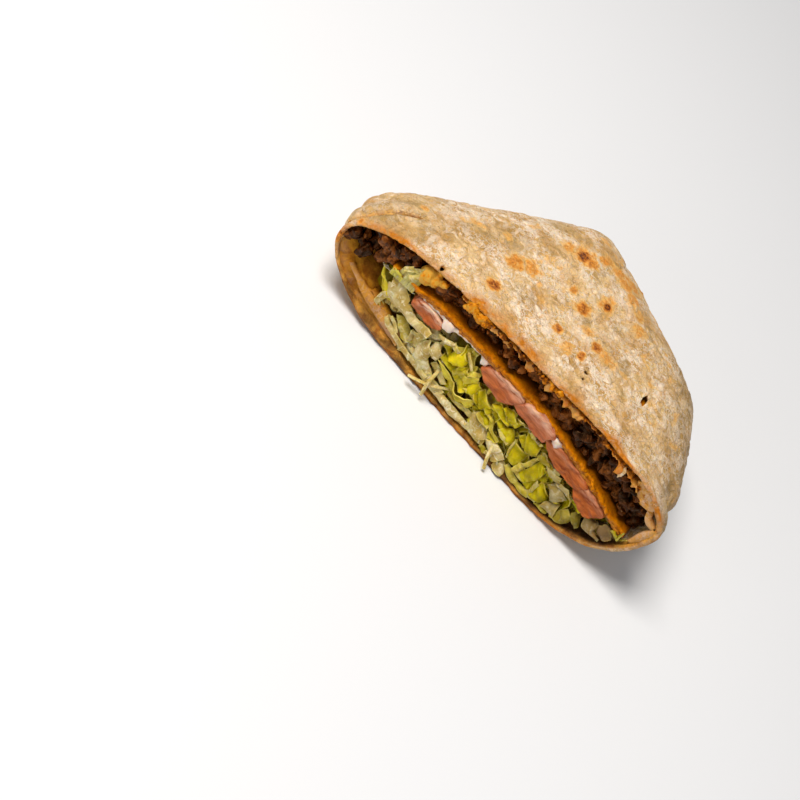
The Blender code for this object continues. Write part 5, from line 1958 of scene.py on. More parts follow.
LEAVES = (
    # the left third: a green-edged leaf, the big pale one and what lies under it
    Leaf(((386.5, 261.5), (382.5, 270.5), (381, 278.5), (382, 288), (379.5, 295)),
         ((388, 262), (385.5, 270.5), (386.5, 278), (389.5, 288), (392, 303)),
         (3.5, 1.5, 4, 2), 0.25, 0.3, 0.4),
    Leaf(((389, 281.5), (388, 294), (391.5, 304), (399.5, 312), (408.5, 322), (418.5, 331.5),
          (428, 338)),
         ((397, 277), (404, 280.5), (409, 292), (412.5, 304), (416.5, 315.5), (425.5, 323),
          (434, 332.5)), (1.5, 0.2, 3.8, 0), 1, 1.3, 0.7),
    Leaf(((397, 314), (398.5, 325), (401, 338)), ((405, 316), (409.5, 327), (413, 343)),
         (3, 1.2, 3.4, 2.2), 0.55, 0.8, 0.6),
    Leaf(((413, 329), (411, 338), (414, 346)), ((424, 333), (426, 340), (421, 346)),
         (2.6, 2, 2.4, 3), 0.8, 0.6, 0.6),
    Leaf(((412.5, 353), (416, 346), (424, 341), (431, 341)),
         ((413.5, 359), (420, 361), (427, 359), (433, 351)), (2.2, 1.2, 1.2, 0.6), 0.92, 1.1, 0.8),
    Leaf(((432, 346), (437, 342), (442, 345)), ((431, 356), (436, 360), (442, 355)),
         (1.4, 1.6, 0.4, 0.8), 1, 1.2, 0.9),
    Leaf(((412, 360), (415, 370), (422, 381)), ((429, 358), (431, 368), (434, 378)),
         (1.4, 0.4, 2.2, 1.6), 0.9, 1, 0.7),
    Leaf(((397, 330), (403, 345), (412, 358)), ((402, 326), (410, 342), (418, 354)),
         (2.6, 1, 3.4, 2.2), 0.85, 0.6, 0.6),
    Leaf(((430, 362), (434, 372), (440, 384)), ((438, 360), (443, 371), (447, 383)),
         (2.8, 1.6, 3.2, 2.6), 0.75, 0.8, 0.6, 0.1),
    # pale pieces under the sour cream
    Leaf(((440, 334), (447, 338), (455, 344)), ((442, 341), (449, 345), (457, 347)),
         (0.4, 0.6, 0, 0.4), 0.95, 0.8, 0.8),
    Leaf(((452, 344), (455, 350), (457, 354)), ((455, 343.5), (459, 349), (460, 353)),
         (0.6, 0.2, 0.6, 0.2), 0.8, 0.3, 0.5),
    Leaf(((467.5, 353), (469, 362), (470, 371.5)), ((470, 353), (473, 362), (473, 371)),
         (0.8, 0.2, 0.8, 0.2), 0.8, 0.4, 0.5),
    # the lime ribbons right of the middle
    Leaf(((439, 359), (445, 368), (452, 378), (455.5, 387.5), (461, 394), (468, 398), (474, 401)),
         ((443, 371), (447, 381), (449.5, 389), (454, 397), (461, 404.5), (467, 408.5), (472, 408)),
         (0.3, 0.2, 1.8, 1.4), 0.3, 0.9, 0.55),
    Leaf(((440, 357.5), (447, 366.5), (453.5, 377), (457.5, 388)),
         ((445.5, 351.5), (452, 361.5), (462.5, 371), (465, 388)), (0.9, 1.2, 2.6, 2.4), 0.12, 0.8, 0.5),
    Leaf(((449, 357.5), (451.5, 353), (459.5, 351), (466, 352)),
         ((452.5, 364.5), (459, 366.5), (463.5, 366), (468, 363)), (1.2, 2.2, 0.2, 1.8), 0.1, 1.4, 0.9),
    Leaf(((443.5, 345.5), (447, 351), (448.5, 359)), ((447.5, 343.5), (451.5, 348), (452, 355)),
         (1.6, 1.2, 2.4, 2), 0.15, 0.6, 0.5),
    Leaf(((452.5, 369.5), (458, 368), (464, 368.5), (469, 369)),
         ((454, 376.5), (459, 377.5), (465, 376.5), (470, 374)), (1.6, 2.2, 0.5, 1.4), 0.3, 0.9, 0.5),
    Leaf(((464.5, 377.5), (468, 373), (474, 372.5), (479.5, 378)),
         ((466, 380), (469, 376), (474, 375.5), (477.5, 380)), (1, 1, 1, 1), 0.35, 0.3, 0.5),
    Leaf(((466, 379), (471, 377), (477.5, 380)), ((465, 386), (471, 388), (478, 388)),
         (2.6, 2.8, 2, 2.2), 0.1, 0.8, 0.5),
    Leaf(((456, 376), (457, 384), (458.5, 391)), ((465, 377), (465.5, 385), (466, 391)),
         (1.2, 0.8, 2.4, 1.8), 0.2, 0.8, 0.5),
    Leaf(((462.5, 389), (470, 385), (478, 383)), ((468, 394), (475, 394.5), (481, 390.5)),
         (0.8, 1.2, 0.4, 0.8), 0.15, 0.9, 0.5),
    Leaf(((462.5, 389), (468, 393), (473.5, 400)), ((466, 389.5), (472.5, 393.5), (477, 400)),
         (0.2, 0.2, 0.9, 0.9), 0.4, 0.3, 0.5),
    Leaf(((474, 391.5), (480, 390), (486, 389.5)), ((474.5, 402), (481, 409.5), (492, 408)),
         (0.9, 1.9, 0.3, 1.6), 0.1, 1.2, 0.55),
    Leaf(((487, 391.5), (489, 388.5), (492, 390.5)), ((487.5, 395), (489.5, 393.5), (491.5, 394)),
         (0.4, 0.4, 0.4, 0.4), 0.3, 0.4, 0.5),
    Leaf(((480, 404), (484, 411), (487, 417)), ((486, 401), (491, 408), (492.5, 414)),
         (0.6, 0.4, 1.6, 1.6), 0.2, 0.6, 0.5),
    # along the bottom, left of the middle
    Leaf(((433, 393), (441, 403), (450, 416), (464.5, 426)),
         ((440, 391), (450, 402), (459, 413), (467, 423.5)), (0, -0.2, 1.2, 0.5), 0.97, 1, 0.7),
    Leaf(((421.5, 375), (429, 386), (436, 395)), ((430, 371), (437, 382), (445, 392)),
         (0.7, 0.4, 1.8, 1.6), 0.95, 0.7, 0.7),
    Leaf(((446, 394), (454, 404), (463, 413)), ((450, 391), (459, 402), (469, 410)),
         (1.6, 1.4, 2.2, 2), 0.6, 0.6, 0.5),
    Leaf(((409, 348), (414, 358), (423, 371)), ((413, 347), (418, 357), (426, 368)),
         (0.6, 0.4, 1.6, 1.4), 0.95, 0.5, 0.6),
    # the leaf with the rolled rim
    Leaf(((474, 410.5), (470.5, 418), (470, 427), (474, 436.5)),
         ((478, 411), (481, 420), (486, 428.5), (487, 439)), (0.9, 0, 1.4, 0.6), 0.9, 1, 0.6),
    Leaf(((476, 413.5), (480, 422), (487, 429)), ((481, 411.5), (487, 415), (490.5, 423.5)),
         (0.2, 0, 2.4, 2), 0.12, 1, 0.5),
    Leaf(((476, 413.5), (480.5, 421.5), (487.5, 428.5)), ((478, 412.5), (482.5, 420), (489.5, 426)),
         (-0.3, -0.3, -0.1, -0.1), 0.5, 0.3, 0.5),
    Leaf(((487, 415.5), (490, 420), (489, 430), (495, 443.5)),
         ((489, 414.5), (493.5, 421), (493, 431), (499, 441.5)), (-0.1, -0.1, 0.4, 0.4), 0.35, 0.5, 0.5),
    Leaf(((487.5, 432), (487, 437), (492.5, 443)), ((491, 431), (492, 437), (496, 443.5)),
         (0.2, 0, 0.9, 0.7), 0.25, 0.6, 0.5),
    # yellow-green faces left of the third tomato
    Leaf(((492.5, 404.5), (498, 414.5), (506, 427)), ((499, 403.5), (506, 409), (508.5, 425)),
         (0.4, 0.2, 2, 1.8), 0.08, 0.9, 0.5),
    Leaf(((499.5, 403), (507, 406), (514, 413)), ((507.5, 416), (510, 424), (519, 424.5)),
         (1.8, 2.4, 0.6, 0.8), 0.06, 0.9, 0.5),
    Leaf(((511, 413), (515, 417), (520, 420)), ((512, 427), (515, 429), (521, 425)),
         (1, 1.8, 0.9, 1.2), 0.15, 0.6, 0.5),
    Leaf(((492, 411), (496, 420), (499, 429)), ((497, 415), (502, 423), (507, 430)),
         (2.2, 1.6, 3.2, 2.6), 0.05, 0.7, 0.5),
    Leaf(((498, 429.5), (502, 437), (507.5, 446)), ((506, 427), (514, 431), (514.5, 441)),
         (0.3, 0.2, 1.9, 1.9), 0.15, 0.8, 0.5),
    Leaf(((497.5, 430), (501, 437.5), (506, 445)), ((499.5, 429), (504.5, 435.5), (509, 443)),
         (0, 0, 0.3, 0.3), 0.6, 0.2, 0.5),
    Leaf(((518, 418), (529, 426.5), (537, 438), (543.5, 446)),
         ((518.5, 421), (527.5, 429.5), (534.5, 440.5), (541, 446.5)), (0.2, 0, 0.9, 0.6), 0.55, 0.4, 0.5),
    Leaf(((505.5, 456.5), (509, 448), (515, 441)), ((515, 466), (521, 461), (528.5, 455.5)),
         (0.3, 0.9, 0.9, 2.6), 0.08, 1, 0.5),
    Leaf(((505.5, 456.5), (509, 448), (515, 441)), ((507, 457.5), (511, 449), (516.5, 442.5)),
         (0, 0.4, 0.1, 0.5), 0.6, 0.2, 0.5),
    Leaf(((528, 431.5), (535, 438), (542, 447)), ((523.5, 449.5), (529, 454.5), (536, 457)),
         (1.4, 1.2, 0.4, 0.3), 0.1, 1, 0.5),
    Leaf(((517, 436), (520, 441), (523, 448)), ((526, 434), (527, 441), (527, 449)),
         (1.8, 1.2, 2.8, 2.2), 0.06, 0.6, 0.5),
    Leaf(((511.5, 467), (521, 463.5), (538, 458.5)), ((517, 472.5), (528, 467.5), (541, 460.5)),
         (-0.3, 0.3, 0.3, 0.9), 0.42, 0.6, 0.5),
    Leaf(((516.5, 473), (528.5, 468), (541, 462), (546.5, 467)),
         ((522.5, 482.5), (530, 481), (539.5, 478.5), (545.5, 471)), (0.6, 1.6, 0, 0.8), 0.14, 0.9, 0.5),
    Leaf(((511.5, 468), (516, 476), (522, 483)), ((514, 467.5), (519, 474), (524, 481.5)),
         (-0.1, -0.1, 0.3, 0.3), 0.55, 0.2, 0.5),
    Leaf(((537, 456), (543, 455), (547, 460)), ((539, 461), (545, 465), (551, 468)),
         (0.8, 0.8, 0.4, 0.4), 0.35, 0.5, 0.5),
    Leaf(((546.5, 465), (553, 471), (562, 478.5)), ((548, 472), (552.5, 479), (559.5, 485)),
         (0.2, 0.2, 0.5, 0), 0.8, 0.6, 0.5),
    Leaf(((543, 452), (551, 461), (562, 473)), ((545, 456), (550, 464), (559, 476.5)),
         (0.6, 0.5, 1.2, 1), 0.7, 0.4, 0.5),
    Leaf(((527.5, 492.5), (532, 487), (537, 481.5)), ((529.5, 494), (534.5, 489.5), (539.5, 485.5)),
         (-0.3, -0.1, 0, 0.2), 0.6, 0.3, 0.5),
    Leaf(((528, 494), (533.5, 489), (541, 482.5), (545, 484)),
         ((533.5, 502.5), (539, 502.5), (545, 501.5), (548.5, 498)), (0.1, 1.4, -0.3, 1.2), 0.1, 1, 0.5),
    Leaf(((522, 484), (526, 489), (530, 492)), ((527, 479), (533, 480), (539, 481)),
         (0.8, 0.8, 1.8, 1.6), 0.05, 0.5, 0.5),
    Leaf(((546, 484.5), (549, 492), (548.5, 502)), ((556, 482.5), (562, 488), (567, 500)),
         (0.6, -0.2, 1.2, 0.6), 1, 1.1, 0.7),
    Leaf(((557, 481.5), (563, 485), (570, 489.5)), ((559, 487), (565, 494), (572, 501.5)),
         (0.8, 0.6, 0.6, 0.2), 0.9, 0.8, 0.6),
    # along the bottom, right of the middle
    Leaf(((485, 437.5), (487, 449), (490.5, 461)), ((494.5, 441), (502, 449), (505, 459)),
         (0.2, -0.3, 1.1, 0.9), 0.92, 0.9, 0.6),
    Leaf(((477.5, 446), (480, 451), (483, 454.5)), ((482.5, 443.5), (485, 448), (486, 453)),
         (0.1, 0, 0.5, 0.4), 0.2, 0.4, 0.5),
    Leaf(((491.5, 464), (494, 470), (500, 476)), ((498.5, 459), (503.5, 464), (504, 472)),
         (-0.1, -0.4, 0.6, 0.3), 1, 0.6, 0.6),
    Leaf(((503.5, 465), (506, 474), (511, 483)), ((508.5, 463.5), (513, 472), (518, 481)),
         (0.4, 0.1, 1, 0.8), 0.4, 0.6, 0.5),
    Leaf(((512, 483), (518, 490), (526, 498)), ((516, 480.5), (523, 487), (529.5, 495)),
         (0.1, -0.2, 0.8, 0.6), 0.35, 0.5, 0.5),
    Leaf(((539.5, 505), (546, 509.5), (553, 517)), ((545, 501.5), (552, 503), (559.5, 506)),
         (-0.2, -0.2, 0.6, 0.6), 1, 0.7, 0.6),
    Leaf(((552.5, 516), (560, 509.5), (568, 509)), ((556, 523), (564, 524.5), (573, 519)),
         (0.3, 0.9, -0.2, 0.6), 0.45, 1.1, 0.7),
    Leaf(((533, 503), (538, 508), (545, 514)), ((538, 503), (543, 507), (549, 511)),
         (0.3, 0.2, 0.8, 0.8), 0.3, 0.4, 0.5),
    # over the layers' left end
    Leaf(((387, 259), (393, 260), (399, 264), (405, 271)), ((389, 264), (394, 267), (399, 270), (403, 274)),
         (1.5, 1, 2.2, 1), 0.7, 0.7, 0.5, 0.1),
    Leaf(((405, 266), (413, 265), (421, 266), (429, 266.5)), ((405, 269), (413, 270.5), (421, 272), (428, 271)),
         (-0.4, 0.6, 0, 1), 0.75, 0.6, 0.5),
    Leaf(((409, 273.5), (417, 274), (425, 272), (431, 272)), ((410, 282), (417, 281), (425, 279), (431, 278)),
         (-0.6, 0.8, -0.2, 1.2), 0.65, 0.8, 0.6),
    Leaf(((394.5, 267), (397, 273), (402, 279)), ((397, 266.5), (400, 272), (404.5, 278)),
         (-0.3, -0.3, 0.4, 0.4), 0.35, 0.4, 0.4),
    # pale pieces that reach the lower edge
    Leaf(((384.5, 317), (386, 325), (391.5, 334)), ((388, 315), (390.5, 323), (395, 332)),
         (0.8, 0.4, 1.4, 1), 1, 0.5, 0.5),
    Leaf(((389.5, 316), (392, 324), (394, 333)), ((393, 315), (396.5, 323), (398, 332)),
         (1.2, 0.8, 1.8, 1.4), 0.8, 0.5, 0.5),
    Leaf(((390, 334), (398, 347), (408, 361)), ((396, 331), (403, 343), (412, 356)),
         (0.2, 0, 1.2, 1), 0.95, 0.5, 0.5),
    Leaf(((398, 343), (401, 350), (408, 356)), ((402, 340), (407, 347), (413, 353)),
         (1.4, 1, 2, 1.6), 0.9, 0.5, 0.5),
    Leaf(((407, 357), (414, 368), (423, 380)), ((411, 354), (419, 365), (428, 376)),
         (0, -0.2, 1, 0.8), 0.97, 0.5, 0.5),
    Leaf(((416, 371), (424, 383), (434, 396)), ((420, 368), (429, 379), (439, 392)),
         (0, -0.2, 1, 0.8), 0.9, 0.5, 0.5),
    Leaf(((447, 411), (455, 419), (466, 430)), ((452, 408), (461, 417), (471, 426)),
         (0, -0.2, 1, 0.9), 0.9, 0.5, 0.5),
    Leaf(((463, 425), (470, 435), (480, 446)), ((468, 421), (476, 431), (485, 441)),
         (-0.1, -0.2, 1, 0.8), 0.85, 0.5, 0.5),
    Leaf(((461, 409), (467, 416), (473, 424)), ((466, 407), (472, 412), (477, 420)),
         (1.6, 1, 2.2, 1.8), 0.7, 0.5, 0.5, 0.15),
    Leaf(((483, 452), (489, 459), (496, 467)), ((487, 449), (494, 456), (500, 463)),
         (0.2, 0, 1, 0.9), 0.85, 0.4, 0.5),
    Leaf(((520, 490), (526, 496), (534, 503)), ((523, 486), (530, 492), (537, 499)),
         (0, 0, 0.9, 0.8), 0.7, 0.4, 0.5),
    # at the right end
    Leaf(((571, 512), (571, 520), (574, 529)), ((578, 511), (580, 518), (579, 527)),
         (1.2, 0.8, 2.2, 1.8), 0.4, 0.6, 0.5, 0.2),
    Leaf(((584, 518.5), (581.5, 526), (589, 534), (597.5, 541)), ((594, 519), (598, 526), (594, 531), (598, 540)),
         (1, 0, 1.8, 0.6), 1, 1.2, 0.6, 0, 0.5),
    Leaf(((600, 525), (596, 532), (600, 539)), ((606, 524), (610, 531), (611, 540)),
         (1.6, 1, 0.6, 0.6), 0.8, 1.4, 0.5, 0.15, 0.9),
    Leaf(((604, 524), (608, 530), (610, 538)), ((608, 525), (611.5, 531), (612, 537)),
         (0.4, 0.4, 1.6, 1.4), 0.9, 0.5, 0.5, 0, 0.7),
    Leaf(((611, 514), (614, 524), (617, 532)), ((621, 516), (626, 524), (628, 534)),
         (2, 1.6, 2.8, 2.4), 0.05, 0.9, 0.5, 0.35),
    Leaf(((611.5, 529), (614, 536), (619, 540), (627, 541)), ((616, 527), (619, 532), (622.5, 536.5), (628, 535)),
         (0.2, 0, 1.4, 1), 0.15, 0.9, 0.5),
    Leaf(((617, 528), (621, 531), (626, 530)), ((619, 535), (623, 536), (627, 535)),
         (1.4, 1.2, 0.8, 0.6), 0.1, 0.7, 0.5),
)


@dataclass(frozen=True)
class Cutter:
    """Makes thin curled sheets between two edges seen in the photograph."""

    view: PhotoView
    spacing: float = 0.45          # mm between a sheet's points
    pleat: float = 3.4             # width of the pleats that run across it, mm
    pleat_depth: float = 2.5
    curl: float = 2.6              # how far a sheet's ends and sides turn up or down, mm

    def line(self, pixels: Sequence[tuple[float, float]], start: float, end: float, count: int) -> np.ndarray:
        """Smooth line of places through pixels, its depth going from start to end."""
        stops = np.linspace(0.0, 1.0, len(pixels))
        places = np.array([self.view.seen(*pixel, start + (end - start) * s) for pixel, s in zip(pixels, stops)])
        slopes = np.gradient(places, stops, axis=0)
        want = np.linspace(0.0, 1.0, count)
        index = np.minimum(np.searchsorted(stops, want, side="right") - 1, len(stops) - 2)
        span = (stops[index + 1] - stops[index])[:, None]
        t = ((want - stops[index])[:, None]) / span
        return ((2 * t ** 3 - 3 * t ** 2 + 1) * places[index] + (t ** 3 - 2 * t ** 2 + t) * span * slopes[index]
                + (3 * t ** 2 - 2 * t ** 3) * places[index + 1] + (t ** 3 - t ** 2) * span * slopes[index + 1])

    def sheet(self, leaf: Leaf, grain: Grain, number: int) -> tuple[np.ndarray, list[tuple[int, ...]], np.ndarray]:
        """Points, faces and rim values of one sheet."""
        rough = [self.line(leaf.first, *leaf.depths[:2], 24), self.line(leaf.second, *leaf.depths[2:], 24)]
        length = max(np.linalg.norm(np.diff(e, axis=0), axis=1).sum() for e in rough)
        width = np.linalg.norm(rough[0] - rough[1], axis=1).max()
        rows, places = int(max(6, length / self.spacing)), int(max(5, width / self.spacing))
        first = self.line(leaf.first, *leaf.depths[:2], rows)
        second = self.line(leaf.second, *leaf.depths[2:], rows)
        across = np.linspace(0.0, 1.0, places)[None, :, None]
        way = np.linspace(0.0, 1.0, rows)[:, None, None]
        sheet = first[:, None] * (1.0 - across) + second[:, None] * across
        facing = self.facing(sheet)
        over = np.concatenate(np.broadcast_arrays(way * length / self.pleat, across * width / 8.0,
                                                  np.full((1, 1, 1), 3.7 * number)), -1).reshape(-1, 3)
        folds = smooth(0.0, 0.2, np.abs(grain(over * (0.45, 0.6, 1.0) + 20.0, 1.0))) - 1.0
        soft = 1.0 - 0.65 * leaf.pale
        ruffle = (self.pleat_depth * grain(over, 1.0) + 0.8 * folds) * soft + 0.3 * grain(over * (2.2, 4.0, 1.0), 1.0)
        curl = self.curl * grain(np.array([[3.7 * number, 0.4, 0.6], [3.7 * number, 5.3, 2.2]]), 1.0)
        curl = curl[0] * (2.0 * way - 1.0) ** 2 + curl[1] * (2.0 * across - 1.0) ** 3
        lift = 1.2 * leaf.bow * np.sin(math.pi * across) + curl * min(1.0, length / 9.0)
        sheet = sheet + facing * (lift + ruffle.reshape(rows, places, 1))
        facing = self.facing(sheet)
        rim = np.zeros((rows, places))
        rim[0] = rim[-1] = rim[:, 0] = rim[:, -1] = 1.0
        half = 0.5 * leaf.thick * (1.0 - 0.35 * rim[..., None])
        front, back = sheet + facing * half, sheet - facing * half
        ids = np.arange(rows * places).reshape(rows, places)
        faces = []
        for grid, turned in ((ids, False), (ids + rows * places, True)):
            for i in range(rows - 1):
                for j in range(places - 1):
                    face = (grid[i, j], grid[i + 1, j], grid[i + 1, j + 1], grid[i, j + 1])
                    faces.append(face[::-1] if turned else face)
        loop = np.concatenate((ids[0, :], ids[1:, -1], ids[-1, -2::-1], ids[-2:0:-1, 0]))
        for here, there in zip(loop, np.roll(loop, -1)):
            faces.append((here, there, there + rows * places, here + rows * places))
        points = np.concatenate((front.reshape(-1, 3), back.reshape(-1, 3)))
        return points, faces, np.concatenate((rim.ravel(), rim.ravel()))

    @staticmethod
    def facing(sheet: np.ndarray) -> np.ndarray:
        """Unit normals of a grid, towards the front."""
        normal = np.cross(np.gradient(sheet, axis=0), np.gradient(sheet, axis=1))
        normal /= np.maximum(np.linalg.norm(normal, axis=2, keepdims=True), 1e-9)
        return normal if normal[..., 1].mean() < 0.0 else -normal

    def cut(self, name: str, leaves: Sequence[Leaf], seed: int,
            fit: Callable[[np.ndarray], np.ndarray] | None = None) -> bpy.types.Object:
        """Build sheets as one object.

        Args:
            name: the object's name.
            leaves: the sheets.
            seed: picks their ruffles.
            fit: moves the places clear of what lies round them.

        Returns:
            The object.
        """
        grain = Grain(seed)
        blocks, faces, start = [], [], 0
        numbers: dict[str, list[np.ndarray]] = {"pale": [], "rim": [], "deep": [], "blush": []}
        for number, leaf in enumerate(leaves):
            points, own, rim = self.sheet(leaf, grain, number)
            faces += [tuple(start + k for k in face) for face in own]
            blocks.append(points)
            start += len(points)
            for key, value in (("pale", leaf.pale), ("deep", leaf.deep), ("blush", leaf.blush)):
                numbers[key].append(np.full(len(points), value))
            numbers["rim"].append(rim)
        points = np.concatenate(blocks)
        piece = make_mesh(name, fit(points) if fit else points, faces,
                          {k: np.concatenate(v) for k, v in numbers.items()}, 50.0)
        face_outwards(piece)
        return piece


FOLDS = (
    # the left wall, which turns in behind the cut, and the flaps' ends stacked before it
    Leaf(((350, 221), (341.5, 236), (340, 254), (344.5, 272), (352, 291), (364, 309), (377, 328), (391, 346)),
         ((376, 224), (377, 240), (386, 258), (390, 274), (394, 291), (398, 308), (403, 325), (408, 341)),
         (1.4, 1.2, 14, 7), 0, 1.4, 0.9),
    Leaf(((352, 262), (356, 278), (362, 293), (371, 309), (383, 327), (395, 346)),
         ((354, 263), (364, 278), (373, 291), (382, 307), (392, 324), (402, 343)), (0.9, 0.6, 4, 2.6), 0, 0.9, 0.8),
    Leaf(((361, 283), (367, 295), (375, 308), (386, 325), (398, 346)),
         ((363, 283), (374, 294), (384, 306), (394, 321), (404, 341)), (1.4, 1, 5, 3.2), 0, 0.9, 0.7),
    Leaf(((372, 290), (378, 301), (385, 313), (394, 328), (402, 343)),
         ((374, 290), (385, 301), (392, 312), (400, 325), (407, 340)), (2.4, 1.8, 6, 4), 0, 0.9, 0.7),
    # the folded-in flap at the right end
    Leaf(((638, 480), (636.5, 488), (637.5, 497), (640, 504), (646, 509)),
         ((643, 481), (648.5, 489), (653, 498), (656, 505), (657, 511)), (2.6, 3.0, 0.6, 0.4), 0, 0.5, 0.8),
    Leaf(((639, 499), (642, 506), (648, 510), (653, 512)), ((643, 497), (647, 503), (652, 507), (656, 509)),
         (0.4, 0.1, 2.2, 1.4), 0.3, 0.8, 0.5),
    Leaf(((649, 510), (645, 517), (646, 524), (651, 530)), ((654, 511), (652, 517), (654, 522), (656, 528)),
         (1.0, 0.6, 3.6, 1.6), 0.3, 1.0, 0.6),
    Leaf(((654, 508), (655, 515), (656, 522), (655, 528)), ((658, 508), (660, 515), (661, 521), (660, 527)),
         (2.2, 2.8, 0.6, 0.5), 0, 0.8, 0.6),
    Leaf(((628, 541), (636, 535), (645, 531), (654, 530)), ((630, 543), (640, 541), (650, 537), (658, 533)),
         (2, 1.4, 0.4, 0.4), 0, 0.8, 0.8),
    Leaf(((615.5, 476.5), (620, 471), (625.5, 468)), ((618, 479), (622.5, 476), (627, 472)), (0.2, 0.0, 0.3, 0.0), 0, 0.3, 0.8),
)


@dataclass
class Folds:
    """The ends of the tortilla's flaps that show inside the cut."""

    view: PhotoView

    def build(self) -> None:
        """Build and dress the flaps' ends."""
        cutter = Cutter(self.view, 0.5, 7.0, 0.8, 0.8)
        piece = cutter.cut("folded_flaps", FOLDS, 91)
        flat = np.empty(len(piece.data.vertices) * 3)
        piece.data.vertices.foreach_get("co", flat)
        depth = flat[1::3] / MM + ORIGIN[1]
        left = flat[::3] < 0.0
        steamed = np.where(left, 0.76 + 0.24 * smooth(0.8, 3.2, depth), 0.62 + 0.36 * smooth(0.6, 2.6, depth)
                           - 0.5 * (flat[::3] / MM + ORIGIN[0] < 56.0))
        # Painted shade: the flaps at the left darken with their depth behind the cut.
        for key, numbers in (("inside", steamed), ("dark", left * (0.4 * smooth(2.0, 6.0, depth) + 0.4 * smooth(
                7.0, 13.0, depth)))):
            piece.data.attributes.new(key, "FLOAT", "POINT").data.foreach_set("value", numbers.astype(np.float32))
        finish = GriddledTortilla(name="flour tortilla, steamed inside", lining="#C68620", lining_dark="#92560C",
                                  rough=0.35, sheen="#FFD49A")
        fit_out(piece, finish.build(), "tortilla", "tortilla")


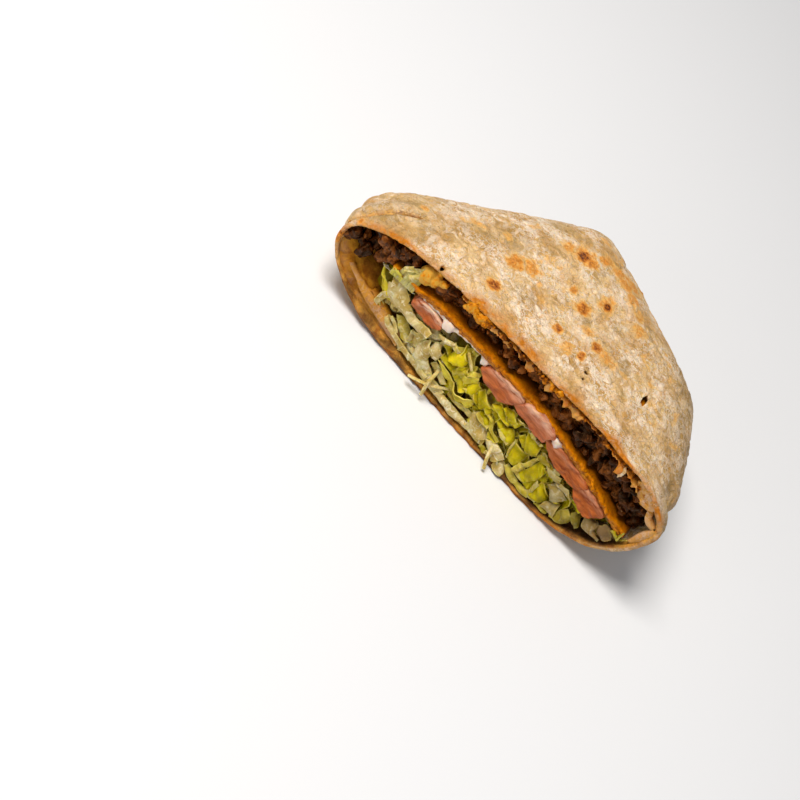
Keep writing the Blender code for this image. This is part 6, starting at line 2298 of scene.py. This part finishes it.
@dataclass
class Lettuce:
    """Shredded lettuce: a core darkened by painted shade, loose shreds in it and the leaves that show."""

    form: WrapForm
    filling: Filling
    view: PhotoView
    left: float = -61.0
    right: float = 63.0
    core_front: float = 7.0
    seed: int = 11
    # Strips that hang out over the lower rim, as the solid has them.
    strips: tuple[tuple[tuple[float, float, float], ...], ...] = (
        ((-8.0, 9.0, 10.0), (-14.0, 2.0, 9.0), (-20.0, -2.4, 7.2), (-27.6, -4.0, 4.6)),
        ((-22.0, 9.0, 14.0), (-21.0, 1.0, 12.6), (-20.4, -3.6, 9.5), (-19.0, -4.4, 3.0)),
        ((11.0, 9.0, 12.0), (13.0, 1.5, 10.0), (14.6, -3.0, 6.6), (17.4, -5.0, 1.6)))

    def build(self) -> None:
        """Build and dress the core, the shreds and the leaves."""
        material = LettuceFinish().build()
        fill, grain = self.filling, Grain(71)

        def front(x: np.ndarray) -> np.ndarray:
            """Front line of the core."""
            flat = np.stack((x.ravel(), 0.0 * x.ravel(), 0.0 * x.ravel()), -1)
            return self.core_front + 2.0 * grain.rough(flat, 8.0).reshape(x.shape)

        core = Sheet(self.form, self.left, self.right, fill.floor,
                     lambda x, y: np.maximum(fill.tomato_low(x, y) - 0.3, fill.floor(x, y) + 1.0),
                     front, 0.8, 4.0, 5.0, 1.8, 4.0)
        # The core is darkened as painted shade.
        numbers = {"pale": 0.1, "rim": 0.0, "deep": 0.7, "blush": 0.0}
        fit_out(core.build("lettuce_core", 72, numbers), material, "lettuce", "lettuce")
        cutter = Cutter(self.view)
        # The leaves to the right lie deeper in the wrap's own shadow.
        leaves = [replace(leaf, deep=leaf.deep + 0.44 * float(smooth(495.0, 545.0, leaf.first[0][0]))) for leaf in LEAVES]
        shown = cutter.cut("lettuce_leaves", leaves, 73, self.kept_in)
        fit_out(shown, material, "lettuce", "lettuce")
        loose = cutter.cut("lettuce_shreds", self.shreds(), 74, self.kept_in)
        fit_out(loose, material, "lettuce", "lettuce")
        fit_out(self.strands(material), material, "lettuce", "lettuce")

    def shreds(self) -> list[Leaf]:
        """Loose shreds that fill the heap behind the leaves."""
        chance = random.Random(self.seed)
        shreds = []
        for _ in range(150):
            x = chance.uniform(self.left + 4.0, self.right - 4.0)
            depth = chance.uniform(2.0, 6.0)
            at, deep = np.array([x]), np.array([depth])
            low, high = float(self.filling.floor(at, deep)[0]) + 2.0, float(self.filling.tomato_low(at, deep)[0]) - 1.0
            z = chance.uniform(low, high)
            spot = self.pixel(x, z + 0.93 * depth)
            turn, half, wide = chance.uniform(0.0, math.tau), chance.uniform(7.0, 13.0), chance.uniform(4.0, 8.0)
            path = np.array((math.cos(turn), math.sin(turn))) * half
            side = np.array((-math.sin(turn), math.cos(turn))) * 0.5 * wide
            sag = side * chance.uniform(-1.5, 1.5)
            first = tuple(tuple(spot + path * k + side + sag * (1.0 - k * k)) for k in (-1.0, 0.0, 1.0))
            second = tuple(tuple(spot + path * k - side + sag * (1.0 - k * k)) for k in (-1.0, 0.0, 1.0))
            depths = tuple(depth + chance.uniform(-1.6, 1.6) for _ in range(4))
            pale = min(1.0, max(0.0, (0.85 if x < -20.0 else 0.12) + chance.uniform(-0.15, 0.3)))
            # Shreds further back get more painted shade.
            shreds.append(Leaf(first, second, depths, pale, chance.uniform(-1.0, 1.4), 0.5, 0.12 * (depth - 2.0)))
        return shreds

    def pixel(self, x: float, z: float) -> np.ndarray:
        """Where the photograph shows a place on the cut."""
        right, up, towards = self.view.axes()
        away = np.array((x, 0.0, z)) - self.view.place()
        scale = self.view.focal / -np.dot(away, towards)
        return np.array((0.5 * self.view.side + np.dot(away, right) * scale,
                         0.5 * self.view.side - np.dot(away, up) * scale))

    def strands(self, material: bpy.types.Material) -> bpy.types.Object:
        """Build the thin strips that hang out over the lower rim."""
        points = np.concatenate([np.array(strand) for strand in self.strips])
        edges, start = [], 0
        for strand in self.strips:
            edges += [(start + k, start + k + 1) for k in range(len(strand) - 1)]
            start += len(strand)
        model = NodeModel("lettuce_strands", {"Width": 0.75 * MM, "Step": 0.5 * MM})
        path = model.node("GeometryNodeMeshToCurve", {0: model.entry.outputs["Geometry"]}).outputs[0]
        bent = model.node("GeometryNodeCurveSplineType", {0: path}, spline_type="CATMULL_ROM").outputs[0]
        even = model.node("GeometryNodeResampleCurve", {
            "Curve": bent, "Length": model.entry.outputs["Step"]}, mode="LENGTH").outputs[0]
        ring = model.node("GeometryNodeCurvePrimitiveCircle", {
            "Resolution": 10, "Radius": model.entry.outputs["Width"]}).outputs[0]
        flat = model.node("GeometryNodeTransform", {"Geometry": ring, "Scale": (1.0, 0.55, 1.0)}).outputs[0]
        strip = model.node("GeometryNodeCurveToMesh", {
            "Curve": even, "Profile Curve": flat, "Fill Caps": True}).outputs[0]
        model.finish(strip, material)
        numbers = {"pale": 1.0, "rim": 0.5, "deep": 0.0, "blush": 0.0}
        return model.run(scatter("lettuce_strands", points, {
            key: np.full(len(points), number) for key, number in numbers.items()}, edges))

    def kept_in(self, places: np.ndarray) -> np.ndarray:
        """Push places behind the cut off the tortilla below and the tomato above."""
        flat = places.copy()
        x, y, z = flat.T
        deep = y > 0.0
        low, high = self.form.inside_span(x, np.maximum(y, 0.0))
        over = self.form.carried(np.clip(x, -76.0, 70.0), self.filling.tomato_low(x, y), np.maximum(y, 0.0))[:, 2] - 0.2
        inside = np.clip(z, low - 1.3, np.maximum(over, low + 0.2))
        flat[:, 2] = np.where(deep, inside, z)
        return flat


def main() -> None:
    """Build every piece of the wrap and report it."""
    logging.basicConfig(level=logging.INFO, format="%(name)s %(message)s")
    view = PhotoView()
    view.build()
    Studio(view).build()
    form = WrapForm()
    filling = Filling(form)
    Tortilla(form).build(GriddledTortilla().build())
    Layers(form, filling).build()
    tomato = TomatoFinish().build()
    for number, (outline, pink, cream_and_highlight, lean) in enumerate(TOMATOES, 1):
        TomatoPiece(form, view, number, outline, pink, cream_and_highlight, lean=lean).build(tomato)
    Beef(form, filling, view).build()
    CrispedCheese(form, filling, view).build()
    Folds(view).build()
    Lettuce(form, filling, view).build()


if __name__ == "__main__":
    main()
